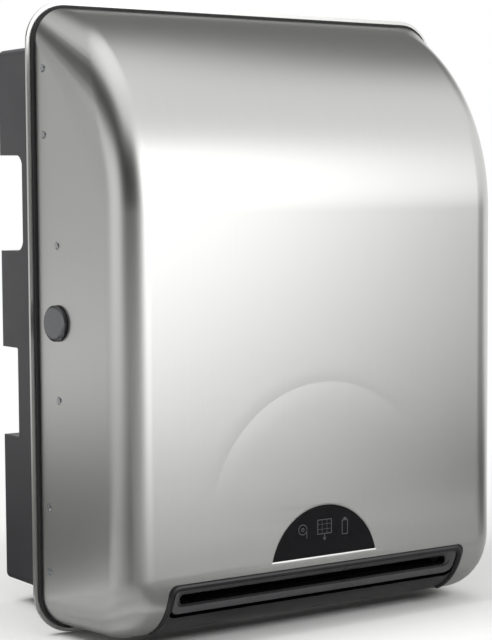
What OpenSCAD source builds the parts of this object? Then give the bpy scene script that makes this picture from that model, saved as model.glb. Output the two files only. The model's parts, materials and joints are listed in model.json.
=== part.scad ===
// Recessed wall dispenser for roll towels, opened by a side-hinged steel cover.
// X runs along the wall, Y runs into the wall, Z is up.
// The origin lies on the finished wall face, at the centre of the wall screws.

/* [Towel roll] */
// Width of the towel roll
roll_len = 210; // [200:1:220]
// Largest diameter of a full roll
roll_d = 176; // [160:1:184]
// Depth of the roll axis behind the wall face
roll_y = 12; // [8:1:18]
// Space above a full roll
head_gap = 18; // [14:1:30]
// Space between a full roll and the feed module
roll_gap = 57; // [50:1:75]
// Space behind a full roll
rear_gap = 4; // [3:0.5:12]

/* [Wall frame] */
// Width of the frame beside the box
flange_w = 35; // [33:1:45]
// Height of the frame above the box
flange_top = 24.5; // [22:0.5:35]
// Height of the frame below the box
flange_bottom = 16.5; // [16:0.5:20]
// Thickness of the frame sheet
frame_t = 2; // [1.5:0.1:3]
// Corner radius of the frame
frame_r = 28; // [24:1:34]
// Distance of the wall screws from the sides of the frame
screw_in_x = 21; // [19:0.5:23]
// Distance of the wall screws from the top and bottom of the frame
screw_in_z = 58.5; // [45:0.5:85]
// Radius of a wall screw hole
screw_r = 2.6; // [2:0.1:3.2]
// Thickness of the gasket behind the cover
gasket_t = 2.5; // [2:0.1:4]
// Width of the gasket
gasket_w = 7.2; // [6:0.1:8]
// Steel left to see outside the gasket
frame_show = 1.8; // [1:0.1:3]

/* [Box] */
// Wall thickness of the moulded box
box_t = 3; // [2:0.1:4]
// Corner radius of the box
box_r = 5; // [3.5:0.5:8]
// Width of the box lip that lies on the frame
lip_w = 6; // [4:0.5:6.5]
// Thickness of the box lip
lip_t = 2.5; // [1.5:0.1:3]
// Width of the notched wings at both rear edges
wing_w = 17; // [12:0.5:18]
// Height of the upper notch above the underside of the box
notch_a_low = 235.5; // [225:0.5:245]
// Length of the upper notch
notch_a_h = 67; // [50:1:80]
// Depth of the upper notch from the back
notch_a_depth = 33; // [20:1:45]
// Fillet in the upper notch
notch_a_r = 9; // [4:0.5:14]
// Height of the lower notch above the underside of the box
notch_b_low = 104.5; // [95:0.5:115]
// Length of the lower notch
notch_b_h = 63; // [50:1:75]
// Depth of the lower notch from the back
notch_b_depth = 22.5; // [12:0.5:30]
// Fillet in the lower notch
notch_b_r = 1.5; // [1:0.5:6]

/* [Cover] */
// Distance from the wall face to the front of the cover
cover_reach = 96; // [92:1:104]
// Frame edge that shows outside the cover
cover_edge = 4.8; // [4:0.1:6]
// Taper of each side from back to front
cover_draft = 8.2; // [4:0.1:12]
// Thickness of the cover sheet
cover_t = 1.2; // [0.8:0.1:1.6]
// Radius along the front edges
edge_r = 22.5; // [16:0.5:26]
// Radius of the crown, the curved top
crown_r = 142; // [125:1:170]
// Radius of the foot, the curved bottom
foot_r = 45; // [42:1:50]
// Depth of the folded edge behind the cover
fold_w = 8; // [5:0.5:8.5]
// Radius of the raised half disc on the front
disc_r = 92; // [80:1:100]
// Height of the raised half disc at its top
disc_h = 0.6; // [0.3:0.1:1]
// Width of the slope above the half disc
disc_slope = 9; // [6:0.5:14]
// Height of the middle of the half disc above the window's base
disc_up = 24.7; // [20:0.1:30]
// Radius of the round side of the window
window_r = 43.8; // [36:0.2:50]
// Height of the window
window_h = 34.2; // [28:0.2:38]
// Steel between the window and the chute trim
window_gap = 5.7; // [5:0.1:8]
// Recess of the window face
window_sink = 0.8; // [0.4:0.1:1]

/* [Chute trim] */
// Width of the trim
trim_w = 245; // [236:1:248]
// Height of the trim above the underside of the cover
trim_h = 39.2; // [38.6:0.2:42]
// Thickness of the trim
trim_t = 9; // [7:0.5:9.5]
// Corner radius of the trim
trim_r = 6; // [4:0.5:10]
// Plastic left at each end of the paper slot
slot_side = 9.5; // [8.5:0.5:12]
// Height of the paper slot
slot_h = 6.5; // [5.5:0.1:7.5]
// Drop from the top of the trim to the slot
slot_drop = 7.8; // [7:0.1:9]

/* [Hinge and lock] */
// Height of each hinge from the middle
hinge_z = 142; // [130:1:145]
// Length of a hinge knuckle
knuckle_h = 20; // [14:1:24]
// Radius of a hinge knuckle
knuckle_r = 3; // [2.5:0.1:3.2]
// Radius of a hinge pin
pin_r = 1.5; // [1:0.1:1.7]
// Radius of the lock button
button_r = 11.5; // [9:0.5:12.5]
// Length of the lock button outside the cover
button_out = 3.2; // [2:0.1:4.5]
// Travel of the lock button
button_travel = 4; // [3:0.1:4.3]
// Distance of the lock from the back edge, along the wall
lock_back = 20.3; // [19.8:0.1:24]
// Head radius of a rivet
rivet_r = 2.6; // [2:0.1:3]

/* [Roll hubs] */
// Radius of the plug that enters the core
plug_r = 18; // [15:0.5:19]
// Radius of the hub flange
hub_r = 30; // [26:1:36]
// Thickness of the hub flange
hub_t = 3; // [2:0.5:3.5]
// Length of the plug
plug_len = 8; // [7:0.5:9]
// Travel of the sprung hub
plunger_travel = 8; // [7:0.5:8.5]
// Radius of the hub axles
axle_r = 3.5; // [3:0.1:4.5]

/* [Feed module] */
// Height of the feed module
module_h = 119; // [117:1:130]
// Gap between the roll and each side plate
plate_gap = 5; // [4:0.5:6]
// Thickness of a side plate
plate_t = 3; // [2:0.1:3.5]
// Space for the gears beside a side plate
side_room = 18; // [17:0.5:20]
// Radius of the drive roller
drive_r = 17; // [15:0.5:18]
// Drive roller axis behind the middle of the foot
drive_back = 21; // [20:0.5:24]
// Drive roller axis above the middle of the foot
drive_up = 31; // [30:0.5:34]
// Radius of the drive shaft
shaft_r = 4; // [3:0.1:4.5]
// Radius of the pinch roller
pinch_r = 10; // [8:0.5:11]
// Radius of the pinch shaft
pinch_shaft_r = 3; // [2:0.1:3.5]
// Gap between the two rollers
nip_gap = 0.3; // [0.3:0.05:0.6]
// Tooth size of the gears
gear_m = 1; // [0.95:0.01:1.05]
// Width of the gears
gear_w = 7; // [5:0.5:8]
// Teeth on the drive gear
drive_teeth = 42; // [40:1:44]
// Teeth on the idler gear
idler_teeth = 24; // [22:1:26]
// Teeth on the motor pinion
pinion_teeth = 12; // [12:1:14]
// Radius of the motor
motor_r = 15; // [12:0.5:15.5]
// Length of the motor
motor_len = 44; // [36:1:60]
// Wall thickness of the moulded guides
guide_t = 2.5; // [1.5:0.1:3]
// Ribs on the paper chute
rib_count = 11; // [7:2:15]
// Spacing of the teeth on the tear bar
tear_pitch = 3; // [2:0.5:5]
// Radius of the feed button
feed_r = 7; // [5:0.5:8]
// Travel of the feed button
feed_travel = 2.5; // [1.5:0.1:3]

/* [Power] */
// Diameter of a battery cell
cell_d = 34.2; // [32:0.1:35]
// Length of a battery cell
cell_len = 61.5; // [58:0.1:63]
// Wall thickness of the battery case
case_t = 2.5; // [1.5:0.1:3]
// Width of the control board
board_w = 90; // [70:1:100]
// Height of the control board
board_h = 46; // [36:1:48]
// Thickness of the boards
board_t = 1.6; // [1:0.1:2]

/* [Clearances] */
// Gap between pieces that are fixed to each other
seat_gap = 0.1; // [0.05:0.01:0.15]
// Gap between pieces that move past each other
move_gap = 0.3; // [0.25:0.05:0.5]
// Gap all round a running shaft
run_gap = 0.05; // [0.03:0.01:0.08]
// Gap all round a pressed shaft
press_gap = 0.02; // [0.01:0.01:0.03]

/* [Hidden] */
$fn = 64;
eps = 0.5;

// Layout across the wall
roll_half = roll_len / 2;
plate_in = roll_half + plate_gap;
plate_out = plate_in + plate_t;
box_in = plate_out + side_room;
box_half = box_in + box_t;
frame_half = box_half + flange_w;
frame_w = 2 * frame_half;

// Layout up the wall
box_h = module_h + roll_gap + roll_d + head_gap + 2 * box_t;
frame_h = box_h + flange_top + flange_bottom;
box_bottom = flange_bottom - frame_h / 2;
box_mid = box_bottom + box_h / 2;
floor_z = box_bottom + box_t;
module_top = floor_z + module_h;
roll_z = module_top + roll_gap + roll_d / 2;

// Layout into the wall
back_in = roll_y + roll_d / 2 + rear_gap;
box_back = back_in + box_t;
lip_y = -frame_t - lip_t;
cover_back = -frame_t - gasket_t - move_gap;
box_split = box_back - max(notch_a_depth, notch_b_depth) - 2 * box_t;
wing_in = box_half - wing_w - 2 * box_t;

// Cover outline
cover_half = frame_half - cover_edge;
cover_top = frame_h / 2 - cover_edge;
cover_bottom = -cover_top;
cover_r = frame_r - cover_edge;
front_half = cover_half - cover_draft;
fold_lap = 0.85;
fold_in = fold_lap * cover_t;
edge_x = front_half - edge_r;
edge_dx = cover_half - edge_x;
edge_dy = cover_reach - edge_r + cover_back;
side_a = atan(edge_dx / edge_dy) - asin(edge_r / norm([edge_dx, edge_dy]));
crown_y = -cover_reach + crown_r;
crown_end = acos((crown_y - cover_back) / crown_r);
crown_z = cover_top - crown_r * sin(crown_end);
foot_y = -cover_reach + foot_r;
foot_z = cover_bottom + foot_r;
crown_steps = 16;
foot_steps = 10;
edge_steps = 8;
rim_steps = 6;

// Chute trim and window
trim_top = cover_bottom + trim_h;
trim_in_r = foot_r - trim_t;
trim_tail = 6;
trim_back = foot_y + trim_tail;
trim_sink = 0.2;
trim_flange = 4;
trim_flange_top = 3.2;
slot_w = trim_w - 2 * slot_side;
slot_top = trim_top - slot_drop;
slot_edge = 0.4;
slot_rim = 6;
ridge_sink = 1.5;
ridge_w = 6.5;
ridge_up = 2.6;
mouth_sink = 5;
mouth_margin = 6;
mouth_above = 5.3;
mouth_below = 9.5;
mouth_r = 7;
mouth_top = slot_top + mouth_above;
mouth_bottom = slot_top - slot_h - mouth_below;
window_base = trim_top + window_gap;
window_z = window_base + window_h - window_r;
disc_z = window_base + disc_up;
disc_under = 8;
disc_facets = 96;
lens_t = 2;
lens_flange = 3;
lens_foot = 2;

// Hinge axis outside the rear corner of the cover
hinge_out = 1.3;
hinge_fore = 3.7;
hinge_x = cover_half + hinge_out;
hinge_y = cover_back - hinge_fore;
hinge_zs = [-hinge_z, hinge_z];
hinge_room = 1;
pin_head_h = 1;
pin_head_w = 1;
lug_h = knuckle_h / 2;
hinge_span = knuckle_h + 2 * lug_h + 2 * move_gap;
leaf_half = knuckle_h / 2;
leaf_front = 21;
leaf_back = 5;
leaf_rows = [11, 17.5];
leaf_rivet = 6;
leaf_arm_t = 2;
leaf_arm_in = 2.2;

// Rivets and stiffener on the side walls
stiff_t = 1.5;
stiff_in = cover_t + seat_gap;
stiff_out = stiff_in + stiff_t;
stiff_back = 2.5;
stiff_w = 13.5;
stiff_end_r = 5;
stiff_short = 37;
stiff_half = cover_top - stiff_short;
stiff_ahead = 11;
stiff_front = lock_back + stiff_ahead;
stiff_mid = 10;
stiff_mid_r = 8;
rivet_shank = 1.6;
rivet_head = 0.8;
rivet_tail = 0.7;
rivet_taper = 0.2;
rivet_end = 3;
rivet_step = 42.5;
rivet_outer_y = 8.3;
rivet_ahead = 1;
rivet_inner_z = 50;
rivet_spots = [
    [rivet_outer_y, stiff_half - rivet_end],
    [rivet_outer_y, stiff_half - rivet_end - rivet_step],
    [lock_back + rivet_ahead, rivet_inner_z]
];

// Lock, along the inward normal of the left wall
house_t = 3.5;
house_r = button_r + house_t;
house_end = 15;
house_wall = 2;
house_flange = 2.5;
house_flange_t = 1.5;
button_edge = 0.8;
button_stop = 0.5;
stem_r = 4;
hook_room = 2;
hook_x = house_end + button_travel - hook_room;
hook_t = 2;
hook_low = 9;
hook_top = 30;
hook_cut = 14;
tooth_back = 3;
tooth_t = 2;
tooth_h = 12;
tooth_gap = 0.5;
tooth_x = hook_x - button_travel - tooth_gap;
keeper_t = 3;
keeper_lap = 2.5;
keeper_gap = 0.4;
keeper_side = 3.5;
keeper_wall = 1.5;
keeper_low = 17;
keeper_h = 14;
keeper_foot_w = 9;
keeper_foot_t = 3.5;
keeper_foot_end = 9;
keeper_end = keeper_low + keeper_h + keeper_foot_end;

// Roll hubs
hub_gap = 1;
hub_in = roll_half + hub_gap;
hub_out = hub_in + hub_t;
hub_edge = 1;
hub_holes = 6;
hub_rib = 1.5;
plug_taper = 1.5;
plug_end = hub_in - plug_len;
axle_head_t = 2.2;
axle_head_w = 4;
sleeve_t = 3.5;
sleeve_r = axle_r + sleeve_t;
sleeve_head_t = 2;
sleeve_head_w = 3;
collar_t = 2.7;
collar_w = 4;
turret_r = 13;
boss_r = 10;
boss_len = 3.5;
plunger_stop = 0.5;
sleeve_end = box_in - boss_len - plunger_travel - plunger_stop;
sleeve_floor = plug_end + sleeve_head_t;
axle_tip = sleeve_floor + plunger_travel + plunger_stop;

// Feed module: side plates and rollers
plate_clear = 3;
plate_r = trim_in_r - plate_clear;
plate_back = 40;
plate_low_h = 34;
plate_foot_w = 12;
plate_foot_in = 2;
plate_hole_r = 1.8;
plate_hole_in = 10;
tower_front = 16;
tower_back = 12;
tower_r = 12;
nose_r = 14;
nose_drop = 28;
nose_top = module_top - nose_drop;
tie_r = 4;
tie_low_y = 16;
tie_low_up = 12;
tie_high_y = 18;
tie_high_down = 24;
tie_low = [tie_low_y, floor_z + tie_low_up];
tie_high = [tie_high_y, module_top - tie_high_down];
drive_y = foot_y + drive_back;
drive_z = foot_z + drive_up;
pinch_a = 8;
pinch_d = drive_r + pinch_r + nip_gap;
pinch_y = drive_y - pinch_d * cos(pinch_a);
pinch_z = drive_z + pinch_d * sin(pinch_a);
roller_half = roll_half + hub_gap;
roller_bands = 5;
roller_groove_w = 8;
roller_groove_t = 3;
shaft_end = 4;
bush_wall = 3;
bush_t = 2;
bush_flange = 2;
bush_end = 1;

// Feed module: gears and motor
gear_gap = 0.1;
tooth_angle = 20;
tooth_foot = 1.15;
tooth_step = 0.5;
tooth_slack = 0.13;
gear_off = 2;
gear_x = plate_out + gear_off;
gear_web = 3;
gear_rim = 2.5;
drive_hub = 8;
idler_hub = 6;
shaft_over = 2;
idler_dir = 90;
idler_d = gear_m * (drive_teeth + idler_teeth) / 2 + gear_gap;
idler_y = drive_y + idler_d * cos(idler_dir);
idler_z = drive_z + idler_d * sin(idler_dir);
idler_r = 3;
idler_head_t = 1.5;
idler_head_w = 2;
pinion_dir = 20;
pinion_d = gear_m * (idler_teeth + pinion_teeth) / 2 + gear_gap;
pinion_y = idler_y + pinion_d * cos(pinion_dir);
pinion_z = idler_z + pinion_d * sin(pinion_dir);
drive_phase = idler_dir;
idler_phase = mesh_phase(drive_phase, drive_teeth, idler_teeth, idler_dir);
pinion_phase = mesh_phase(idler_phase, idler_teeth, pinion_teeth, pinion_dir);
motor_shaft_r = 2;
motor_shaft_in = 12;
motor_eye = 3;
motor_nose = 2;
motor_nose_r = 5;

// Feed module: guides, button and lamps
panel_in = 4;
panel_up = 60;
panel_lift = 4.6;
panel_y = foot_y - plate_r + panel_in;
panel_top = foot_z + panel_up;
panel_bottom = slot_top + panel_lift;
panel_ledge = 16;
panel_lip = 5.5;
guide_in = 1;
guide_drop = 12;
guide_y = pinch_y + guide_in;
guide_z = pinch_z - pinch_r - guide_drop;
chute_fore = 8;
chute_drop = 7;
chute_top = [drive_y - chute_fore, drive_z - drive_r - chute_drop];
chute_stop = 5;
chute_under = 3;
chute_heel = 0.2;
tip_a = 47.8;
tip_gap = 0.25;
tip_r = trim_in_r - tip_gap;
chute_foot = [foot_y - tip_r * cos(tip_a), foot_z - tip_r * sin(tip_a)];
chute_tip = chute_foot + [0, guide_t + chute_under];
rib_w = 2;
rib_side = 8;
rib_rise = [-2.5, 3.5];
rib_top = 2;
rib_start = 0.4;
rib_full = 0.55;
tear_side = 4;
tear_t = 1.2;
tear_tip = 0.3;
tear_depth = 2.5;
tear_lap = 10;
feed_side = 30;
feed_x = plate_in - feed_side;
feed_up = 43;
feed_z = foot_z + feed_up;
feed_out = 3;
feed_stem = 3.5;
feed_flange_t = 1.5;
feed_stop = 1;
feed_wall = 2;
feed_rim = 4.5;
feed_cup = feed_r + feed_rim;
feed_room = feed_stem + feed_travel + feed_stop;
post_r = 3;
post_in = 5;
board_r = 2;
panel_post = 3.4;
board_y = panel_y - panel_post;
led_pitch = 22;
led_r = 2.5;
led_len = 3;
led_up = 12;
led_z = window_base + led_up;
board_up = 2;
board_z = led_z + board_up;
small_board_w = 80;
small_board_h = 26;

// Power
contact_t = 3;
contact_w = 14;
cell_gap = 0.5;
cell_cap_r = 4.8;
cell_cap_h = 1.5;
case_half = cell_len + contact_t + case_t;
case_d = 2 * (cell_d + 2 * seat_gap) + 2 * case_t + cell_gap;
case_front = back_in - rear_gap - case_d;
case_lid_gap = 3;
case_h = case_t + cell_d + case_lid_gap;
cell_z = floor_z + case_t + seat_gap + cell_d / 2;
cell_ys = [for (i = [0, 1]) case_front + case_t + seat_gap + cell_d / 2 + i * (cell_d + cell_gap)];
door_t = 2.5;
door_in = 1.5;
door_axis_y = case_front + case_d - door_in;
door_pin_r = 1.2;
door_pin_in = 4;
door_knuckle = 2.6;
door_low = floor_z + case_h + move_gap;
door_axis_z = door_low + door_knuckle;
door_tab_w = 24;
door_tab = 5;
ear_w = 12;
ear_in = 4;
ear_x = case_half - ear_in - ear_w;
post_len = 4;
control_up = 29;
control_z = module_top + control_up;
control_y = back_in - post_len - board_t;
can_r = 4;
can_h = 8;
can_x = [-26, -14];
can_up = 6;
chip_at = [10, -8];
chip_size = [18, 2, 14];

// Angle at which the second gear meets the first one tooth to gap
function mesh_phase(phase, teeth, next_teeth, dir) =
    dir + 180 - (180 - (dir - phase) * teeth) / next_teeth;

// Involute of a base circle at the radius r, in degrees
function involute(base, r) = sqrt(pow(r / base, 2) - 1) * 180 / PI - acos(base / r);

// Half the width of a tooth at the radius r, in degrees
function tooth_half(teeth, r) =
    let (pitch = gear_m * teeth / 2)
    let (base = pitch * cos(tooth_angle))
    let (slack = tooth_slack * gear_m)
    (PI * gear_m / 2 - 2 * slack) / (2 * pitch) * 180 / PI
        + involute(base, pitch) - involute(base, max(base, r));

// Outline of a spur gear with its first tooth at the angle 0
function gear_outline(teeth) =
    let (pitch = gear_m * teeth / 2)
    let (radii = [for (i = [0 : 4]) pitch - tooth_foot * gear_m + i * tooth_step * gear_m])
    [
        for (t = [0 : teeth - 1])
            let (mid = t * 360 / teeth)
            for (k = [0 : 9])
                let (r = k < 5 ? radii[k] : radii[9 - k])
                let (a = mid + (k < 5 ? -1 : 1) * tooth_half(teeth, r))
                r * [cos(a), sin(a)]
    ];

// Point on the rounded front edge, on the side s, with the sheet inset by t
function edge_point(s, t, y, z, n, b) =
    let (r = edge_r - t)
    [s * (edge_x + r * cos(b)), y + r * sin(b) * n[0], z + r * sin(b) * n[1]];

function edge_angles() = [for (i = [0 : edge_steps]) side_a + (90 - side_a) * i / edge_steps];

function crown_points(s, t) = [
    for (i = [0 : crown_steps])
        let (a = crown_end * i / crown_steps)
        let (n = [-cos(a), sin(a)])
        let (path = crown_r - edge_r)
        for (b = edge_angles())
            let (p = edge_point(s, t, crown_y + path * n[0], crown_z + path * n[1], n, b))
            if (p[1] <= cover_back) p
];

function foot_points(s, t) = [
    for (i = [0 : foot_steps])
        let (a = 90 * i / foot_steps)
        let (n = [-cos(a), -sin(a)])
        let (path = foot_r - edge_r)
        for (b = edge_angles())
            edge_point(s, t, foot_y + path * n[0], foot_z + path * n[1], n, b)
];

function rim_points(s, t, y) = [
    for (v = [-1, 1])
        for (i = [0 : rim_steps])
            let (a = 90 * i / rim_steps)
            [
                s * (cover_half - cover_r + (cover_r - t) * cos(a)),
                y,
                v * (cover_top - cover_r + (cover_r - t) * sin(a))
            ]
];

function form_points(t, y) = [
    for (s = [-1, 1])
        each concat(crown_points(s, t), foot_points(s, t), rim_points(s, t, y))
];

// The solid inside the cover's outer face, inset by t, with its back at y
module cover_form(t, y) {
    pts = form_points(t, y);
    hull() polyhedron(pts, [for (i = [0 : len(pts) - 3]) [i, i + 1, i + 2]]);
}

// A flat shape in Y and Z, extruded along X
module along_x(x, length) {
    translate([x, 0, 0]) rotate([90, 0, 90]) linear_extrude(length) children();
}

// A flat shape in X and Z, extruded along Y
module along_y(y, length) {
    translate([0, y + length, 0]) rotate([90, 0, 0]) linear_extrude(length) children();
}

module rod_x(x, length, r) {
    translate([x, 0, 0]) rotate([0, 90, 0]) cylinder(h = length, r = r);
}

module rod_y(y, length, r) {
    translate([0, y, 0]) rotate([-90, 0, 0]) cylinder(h = length, r = r);
}

module at_yz(y, z) {
    translate([0, y, z]) children();
}

module both_sides() {
    children();
    mirror([1, 0, 0]) children();
}

// Rounded rectangle about its middle
module round_rect(w, h, r) {
    square([w - 2 * r, h], center = true);
    square([w, h - 2 * r], center = true);
    for (x = [-1, 1], y = [-1, 1])
        translate([x * (w / 2 - r), y * (h / 2 - r)]) circle(r = r);
}

// Rectangle between two corners
module span_rect(a, b) {
    translate(a) square(b - a);
}

// Rounded rectangle between two corners
module round_span(a, b, r) {
    translate((a + b) / 2) round_rect(b[0] - a[0], b[1] - a[1], r);
}

// Frame of the left side wall: X goes in from its outer face, Y goes back along it
module left_wall() {
    translate([-cover_half, cover_back, 0]) rotate([0, 0, side_a]) children();
}

module right_wall() {
    mirror([1, 0, 0]) left_wall() children();
}

// Box notches at both rear edges, grown by g
module box_notches(g) {
    for (n = [
        [notch_a_low, notch_a_h, notch_a_depth, notch_a_r],
        [notch_b_low, notch_b_h, notch_b_depth, notch_b_r]
    ])
        both_sides()
            along_x(box_half - wing_w - g, wing_w + g + eps)
                translate([box_back, box_bottom + n[0] + n[1] / 2])
                    round_rect(2 * (n[2] + g), n[1] + 2 * g, n[3] + g);
}

module box_outline(grow) {
    translate([0, box_mid])
        round_rect(2 * (box_half + grow), box_h + 2 * grow, box_r + grow);
}

// Walls of the moulded box, with the notches in its rear edges
module box_walls() {
    difference() {
        along_y(-frame_t - eps, box_back + frame_t + eps) box_outline(0);
        box_notches(0);
        difference() {
            along_y(lip_y - eps, back_in - lip_y + eps) box_outline(-box_t);
            box_notches(box_t);
        }
    }
}

// Front of the box: lip, four walls, and the hub turret and boss
module chassis_box() {
    color("#4a494b") difference() {
        union() {
            difference() {
                union() {
                    along_y(-frame_t - eps, box_split + frame_t + eps) box_outline(0);
                    along_y(lip_y, lip_t) box_outline(lip_w);
                }
                along_y(lip_y - eps, box_split - lip_y + 2 * eps) box_outline(-box_t);
            }
            at_yz(roll_y, roll_z) {
                rod_x(-box_in - eps, box_in + eps - hub_out - move_gap, turret_r);
                rod_x(box_in - boss_len, boss_len + eps, boss_r);
            }
        }
        at_yz(roll_y, roll_z)
            rod_x(-box_half - eps, 2 * box_half + 2 * eps, axle_r + press_gap);
    }
}

// Back of the box between its wings, with the posts of the control board
module chassis_back() {
    color("#4a494b") {
        intersection() {
            box_walls();
            translate([-wing_in, box_split, box_bottom - eps])
                cube([2 * wing_in, box_back, box_h + 2 * eps]);
        }
        for (x = [-1, 1], z = [-1, 1])
            translate([x * (board_w / 2 - post_in), 0, control_z + z * (board_h / 2 - post_in)])
                rod_y(back_in - post_len, post_len + eps, post_r);
    }
}

// Notched rear side of the box, on the right
module chassis_wing() {
    intersection() {
        box_walls();
        translate([wing_in, box_split, box_bottom - eps])
            cube([box_half, box_back, box_h + 2 * eps]);
    }
}

module chassis_wing_left() {
    color("#4a494b") mirror([1, 0, 0]) chassis_wing();
}

module chassis_wing_right() {
    color("#4a494b") chassis_wing();
}

module wall_frame() {
    color("#c4c4c4") along_y(-frame_t, frame_t) difference() {
        round_rect(frame_w, frame_h, frame_r);
        box_outline(move_gap);
        for (x = [-1, 1], z = [-1, 1])
            translate([x * (frame_half - screw_in_x), z * (frame_h / 2 - screw_in_z)])
                circle(r = screw_r);
    }
}

// Gasket on the frame, open at the hinges
module frame_gasket() {
    outer = frame_show;
    inner = frame_show + gasket_w;
    color("#1c1c1d") along_y(-frame_t - gasket_t, gasket_t) difference() {
        round_rect(frame_w - 2 * outer, frame_h - 2 * outer, frame_r - outer);
        round_rect(frame_w - 2 * inner, frame_h - 2 * inner, frame_r - inner);
        for (z = hinge_zs)
            translate([hinge_x, z])
                square([4 * knuckle_r + 4 * hinge_room, hinge_span + 2 * move_gap], center = true);
    }
}

// Two lugs at each hinge, with their feet on the wall frame
module hinge_lugs() {
    color("#9a9a9a")
        for (z = hinge_zs, s = [-1, 1])
            translate([hinge_x, hinge_y, z + s * (knuckle_h / 2 + move_gap + lug_h / 2)])
                difference() {
                    union() {
                        cylinder(h = lug_h, r = knuckle_r, center = true);
                        translate([-knuckle_r, 0, -lug_h / 2])
                            cube([2 * knuckle_r, -frame_t - hinge_y, lug_h]);
                    }
                    cylinder(h = lug_h + eps, r = pin_r + press_gap, center = true);
                }
}

module hinge_pins() {
    head_r = pin_r + pin_head_w;
    color("#b8b8b8")
        for (z = hinge_zs)
            translate([hinge_x, hinge_y, z - hinge_span / 2]) {
                cylinder(h = hinge_span + seat_gap, r = pin_r);
                translate([0, 0, hinge_span + seat_gap]) cylinder(h = pin_head_h, r = head_r);
            }
}

// Strip on the frame with a lip in front of the hook's tooth
module latch_keeper() {
    side_x = tooth_x - keeper_side;
    lip_y = -tooth_back - tooth_t - keeper_gap - keeper_t;
    foot_front = gasket_t + move_gap - keeper_foot_t;
    color("#a8a8a8") difference() {
        left_wall() {
            translate([side_x, lip_y, keeper_low])
                cube([keeper_wall, foot_front + 2 * keeper_foot_t - lip_y, keeper_h]);
            translate([side_x, lip_y, keeper_low])
                cube([keeper_lap + keeper_side, keeper_t, keeper_h]);
            translate([side_x, foot_front, keeper_low - keeper_foot_end])
                cube([keeper_foot_w, 2 * keeper_foot_t, keeper_h + 2 * keeper_foot_end]);
        }
        translate([-frame_half, -frame_t, 0]) cube([frame_half, 4 * keeper_foot_t, 2 * keeper_end]);
    }
}

// Left axle, fixed in its turret, with a head that keeps the hub on
module hub_axle_left() {
    tip = plug_end - move_gap;
    color("#b4b4b4") at_yz(roll_y, roll_z) {
        rod_x(-box_half, box_half - tip, axle_r);
        rod_x(-tip, axle_head_t, axle_r + axle_head_w);
    }
}

// Right axle, on which the sprung sleeve slides
module hub_axle_right() {
    color("#b4b4b4") at_yz(roll_y, roll_z) rod_x(axle_tip, box_half - axle_tip, axle_r);
}

// Plug and flange of a hub, from its outer face at 0
module hub_body(bore) {
    length = hub_t + plug_len;
    rotate([0, 90, 0]) difference() {
        rotate_extrude()
            polygon([
                [bore, 0], [hub_r - hub_edge, 0], [hub_r, hub_edge], [hub_r, hub_t],
                [plug_r, hub_t], [plug_r - plug_taper, length], [bore, length]
            ]);
        for (i = [1 : hub_holes])
            rotate(i * 360 / hub_holes) translate([(plug_r + hub_r) / 2, 0, -eps])
                cylinder(h = hub_t + 2 * eps, r = (hub_r - plug_r) / 2 - hub_rib);
    }
}

module roll_hub_left() {
    color("#6f7275") at_yz(roll_y, roll_z)
        translate([-hub_out, 0, 0]) hub_body(axle_r + run_gap);
}

// The right hub has a pocket in its plug for the head of the sleeve
module roll_hub_right() {
    pocket = sleeve_head_t + move_gap;
    color("#6f7275") at_yz(roll_y, roll_z) difference() {
        translate([hub_out, 0, 0]) mirror([1, 0, 0]) hub_body(sleeve_r + run_gap);
        rod_x(plug_end - eps, pocket + eps, sleeve_r + sleeve_head_w + move_gap);
    }
}

// Sleeve that slides on the right axle and carries the right hub
module hub_plunger() {
    color("#2e2f31") at_yz(roll_y, roll_z) difference() {
        union() {
            rod_x(plug_end, sleeve_end - plug_end, sleeve_r);
            rod_x(plug_end, sleeve_head_t, sleeve_r + sleeve_head_w);
            rod_x(hub_out + move_gap, collar_t, sleeve_r + collar_w);
        }
        rod_x(sleeve_floor, sleeve_end - sleeve_floor + eps, axle_r + run_gap);
    }
}

// Side plate outline: round where the foot of the cover passes under it
module plate_outline() {
    intersection() {
        union() {
            translate([foot_y, foot_z]) circle(r = plate_r);
            round_span([foot_y - plate_r, foot_z - nose_r], [foot_y + plate_r, nose_top], nose_r);
            span_rect([foot_y, floor_z], [plate_back, floor_z + plate_low_h]);
            round_span(
                [foot_y + tower_front, floor_z], [plate_back - tower_back, module_top], tower_r
            );
        }
        span_rect([foot_y - plate_r, floor_z], [plate_back, module_top]);
    }
}

// Hole through a side plate
module plate_hole(y, z, r) {
    at_yz(y, z) rod_x(plate_in - eps, plate_t + 2 * eps, r);
}

module side_plate(motor_side) {
    difference() {
        union() {
            along_x(plate_in, plate_t) plate_outline();
            translate([plate_in - plate_foot_w, plate_foot_in, floor_z])
                cube([plate_foot_w + eps, plate_back - 2 * plate_foot_in, plate_t]);
        }
        plate_hole(drive_y, drive_z, shaft_r + bush_wall + press_gap);
        plate_hole(pinch_y, pinch_z, pinch_shaft_r + bush_wall + press_gap);
        if (motor_side) {
            plate_hole(idler_y, idler_z, idler_r + press_gap);
            plate_hole(pinion_y, pinion_z, motor_shaft_r + motor_eye);
        }
        for (y = [plate_hole_in, plate_back - plate_hole_in])
            translate([plate_in - plate_foot_w / 2, y, floor_z - eps])
                cylinder(h = plate_t + 2 * eps, r = plate_hole_r);
    }
}

module side_plate_left() {
    color("#8d8f92") mirror([1, 0, 0]) side_plate(false);
}

module side_plate_right() {
    color("#8d8f92") side_plate(true);
}

// Rods that hold the side plates apart
module tie_rods() {
    color("#b0b2b4") for (p = [tie_low, tie_high])
        at_yz(p[0], p[1]) rod_x(-plate_in, 2 * plate_in, tie_r);
}

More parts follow.
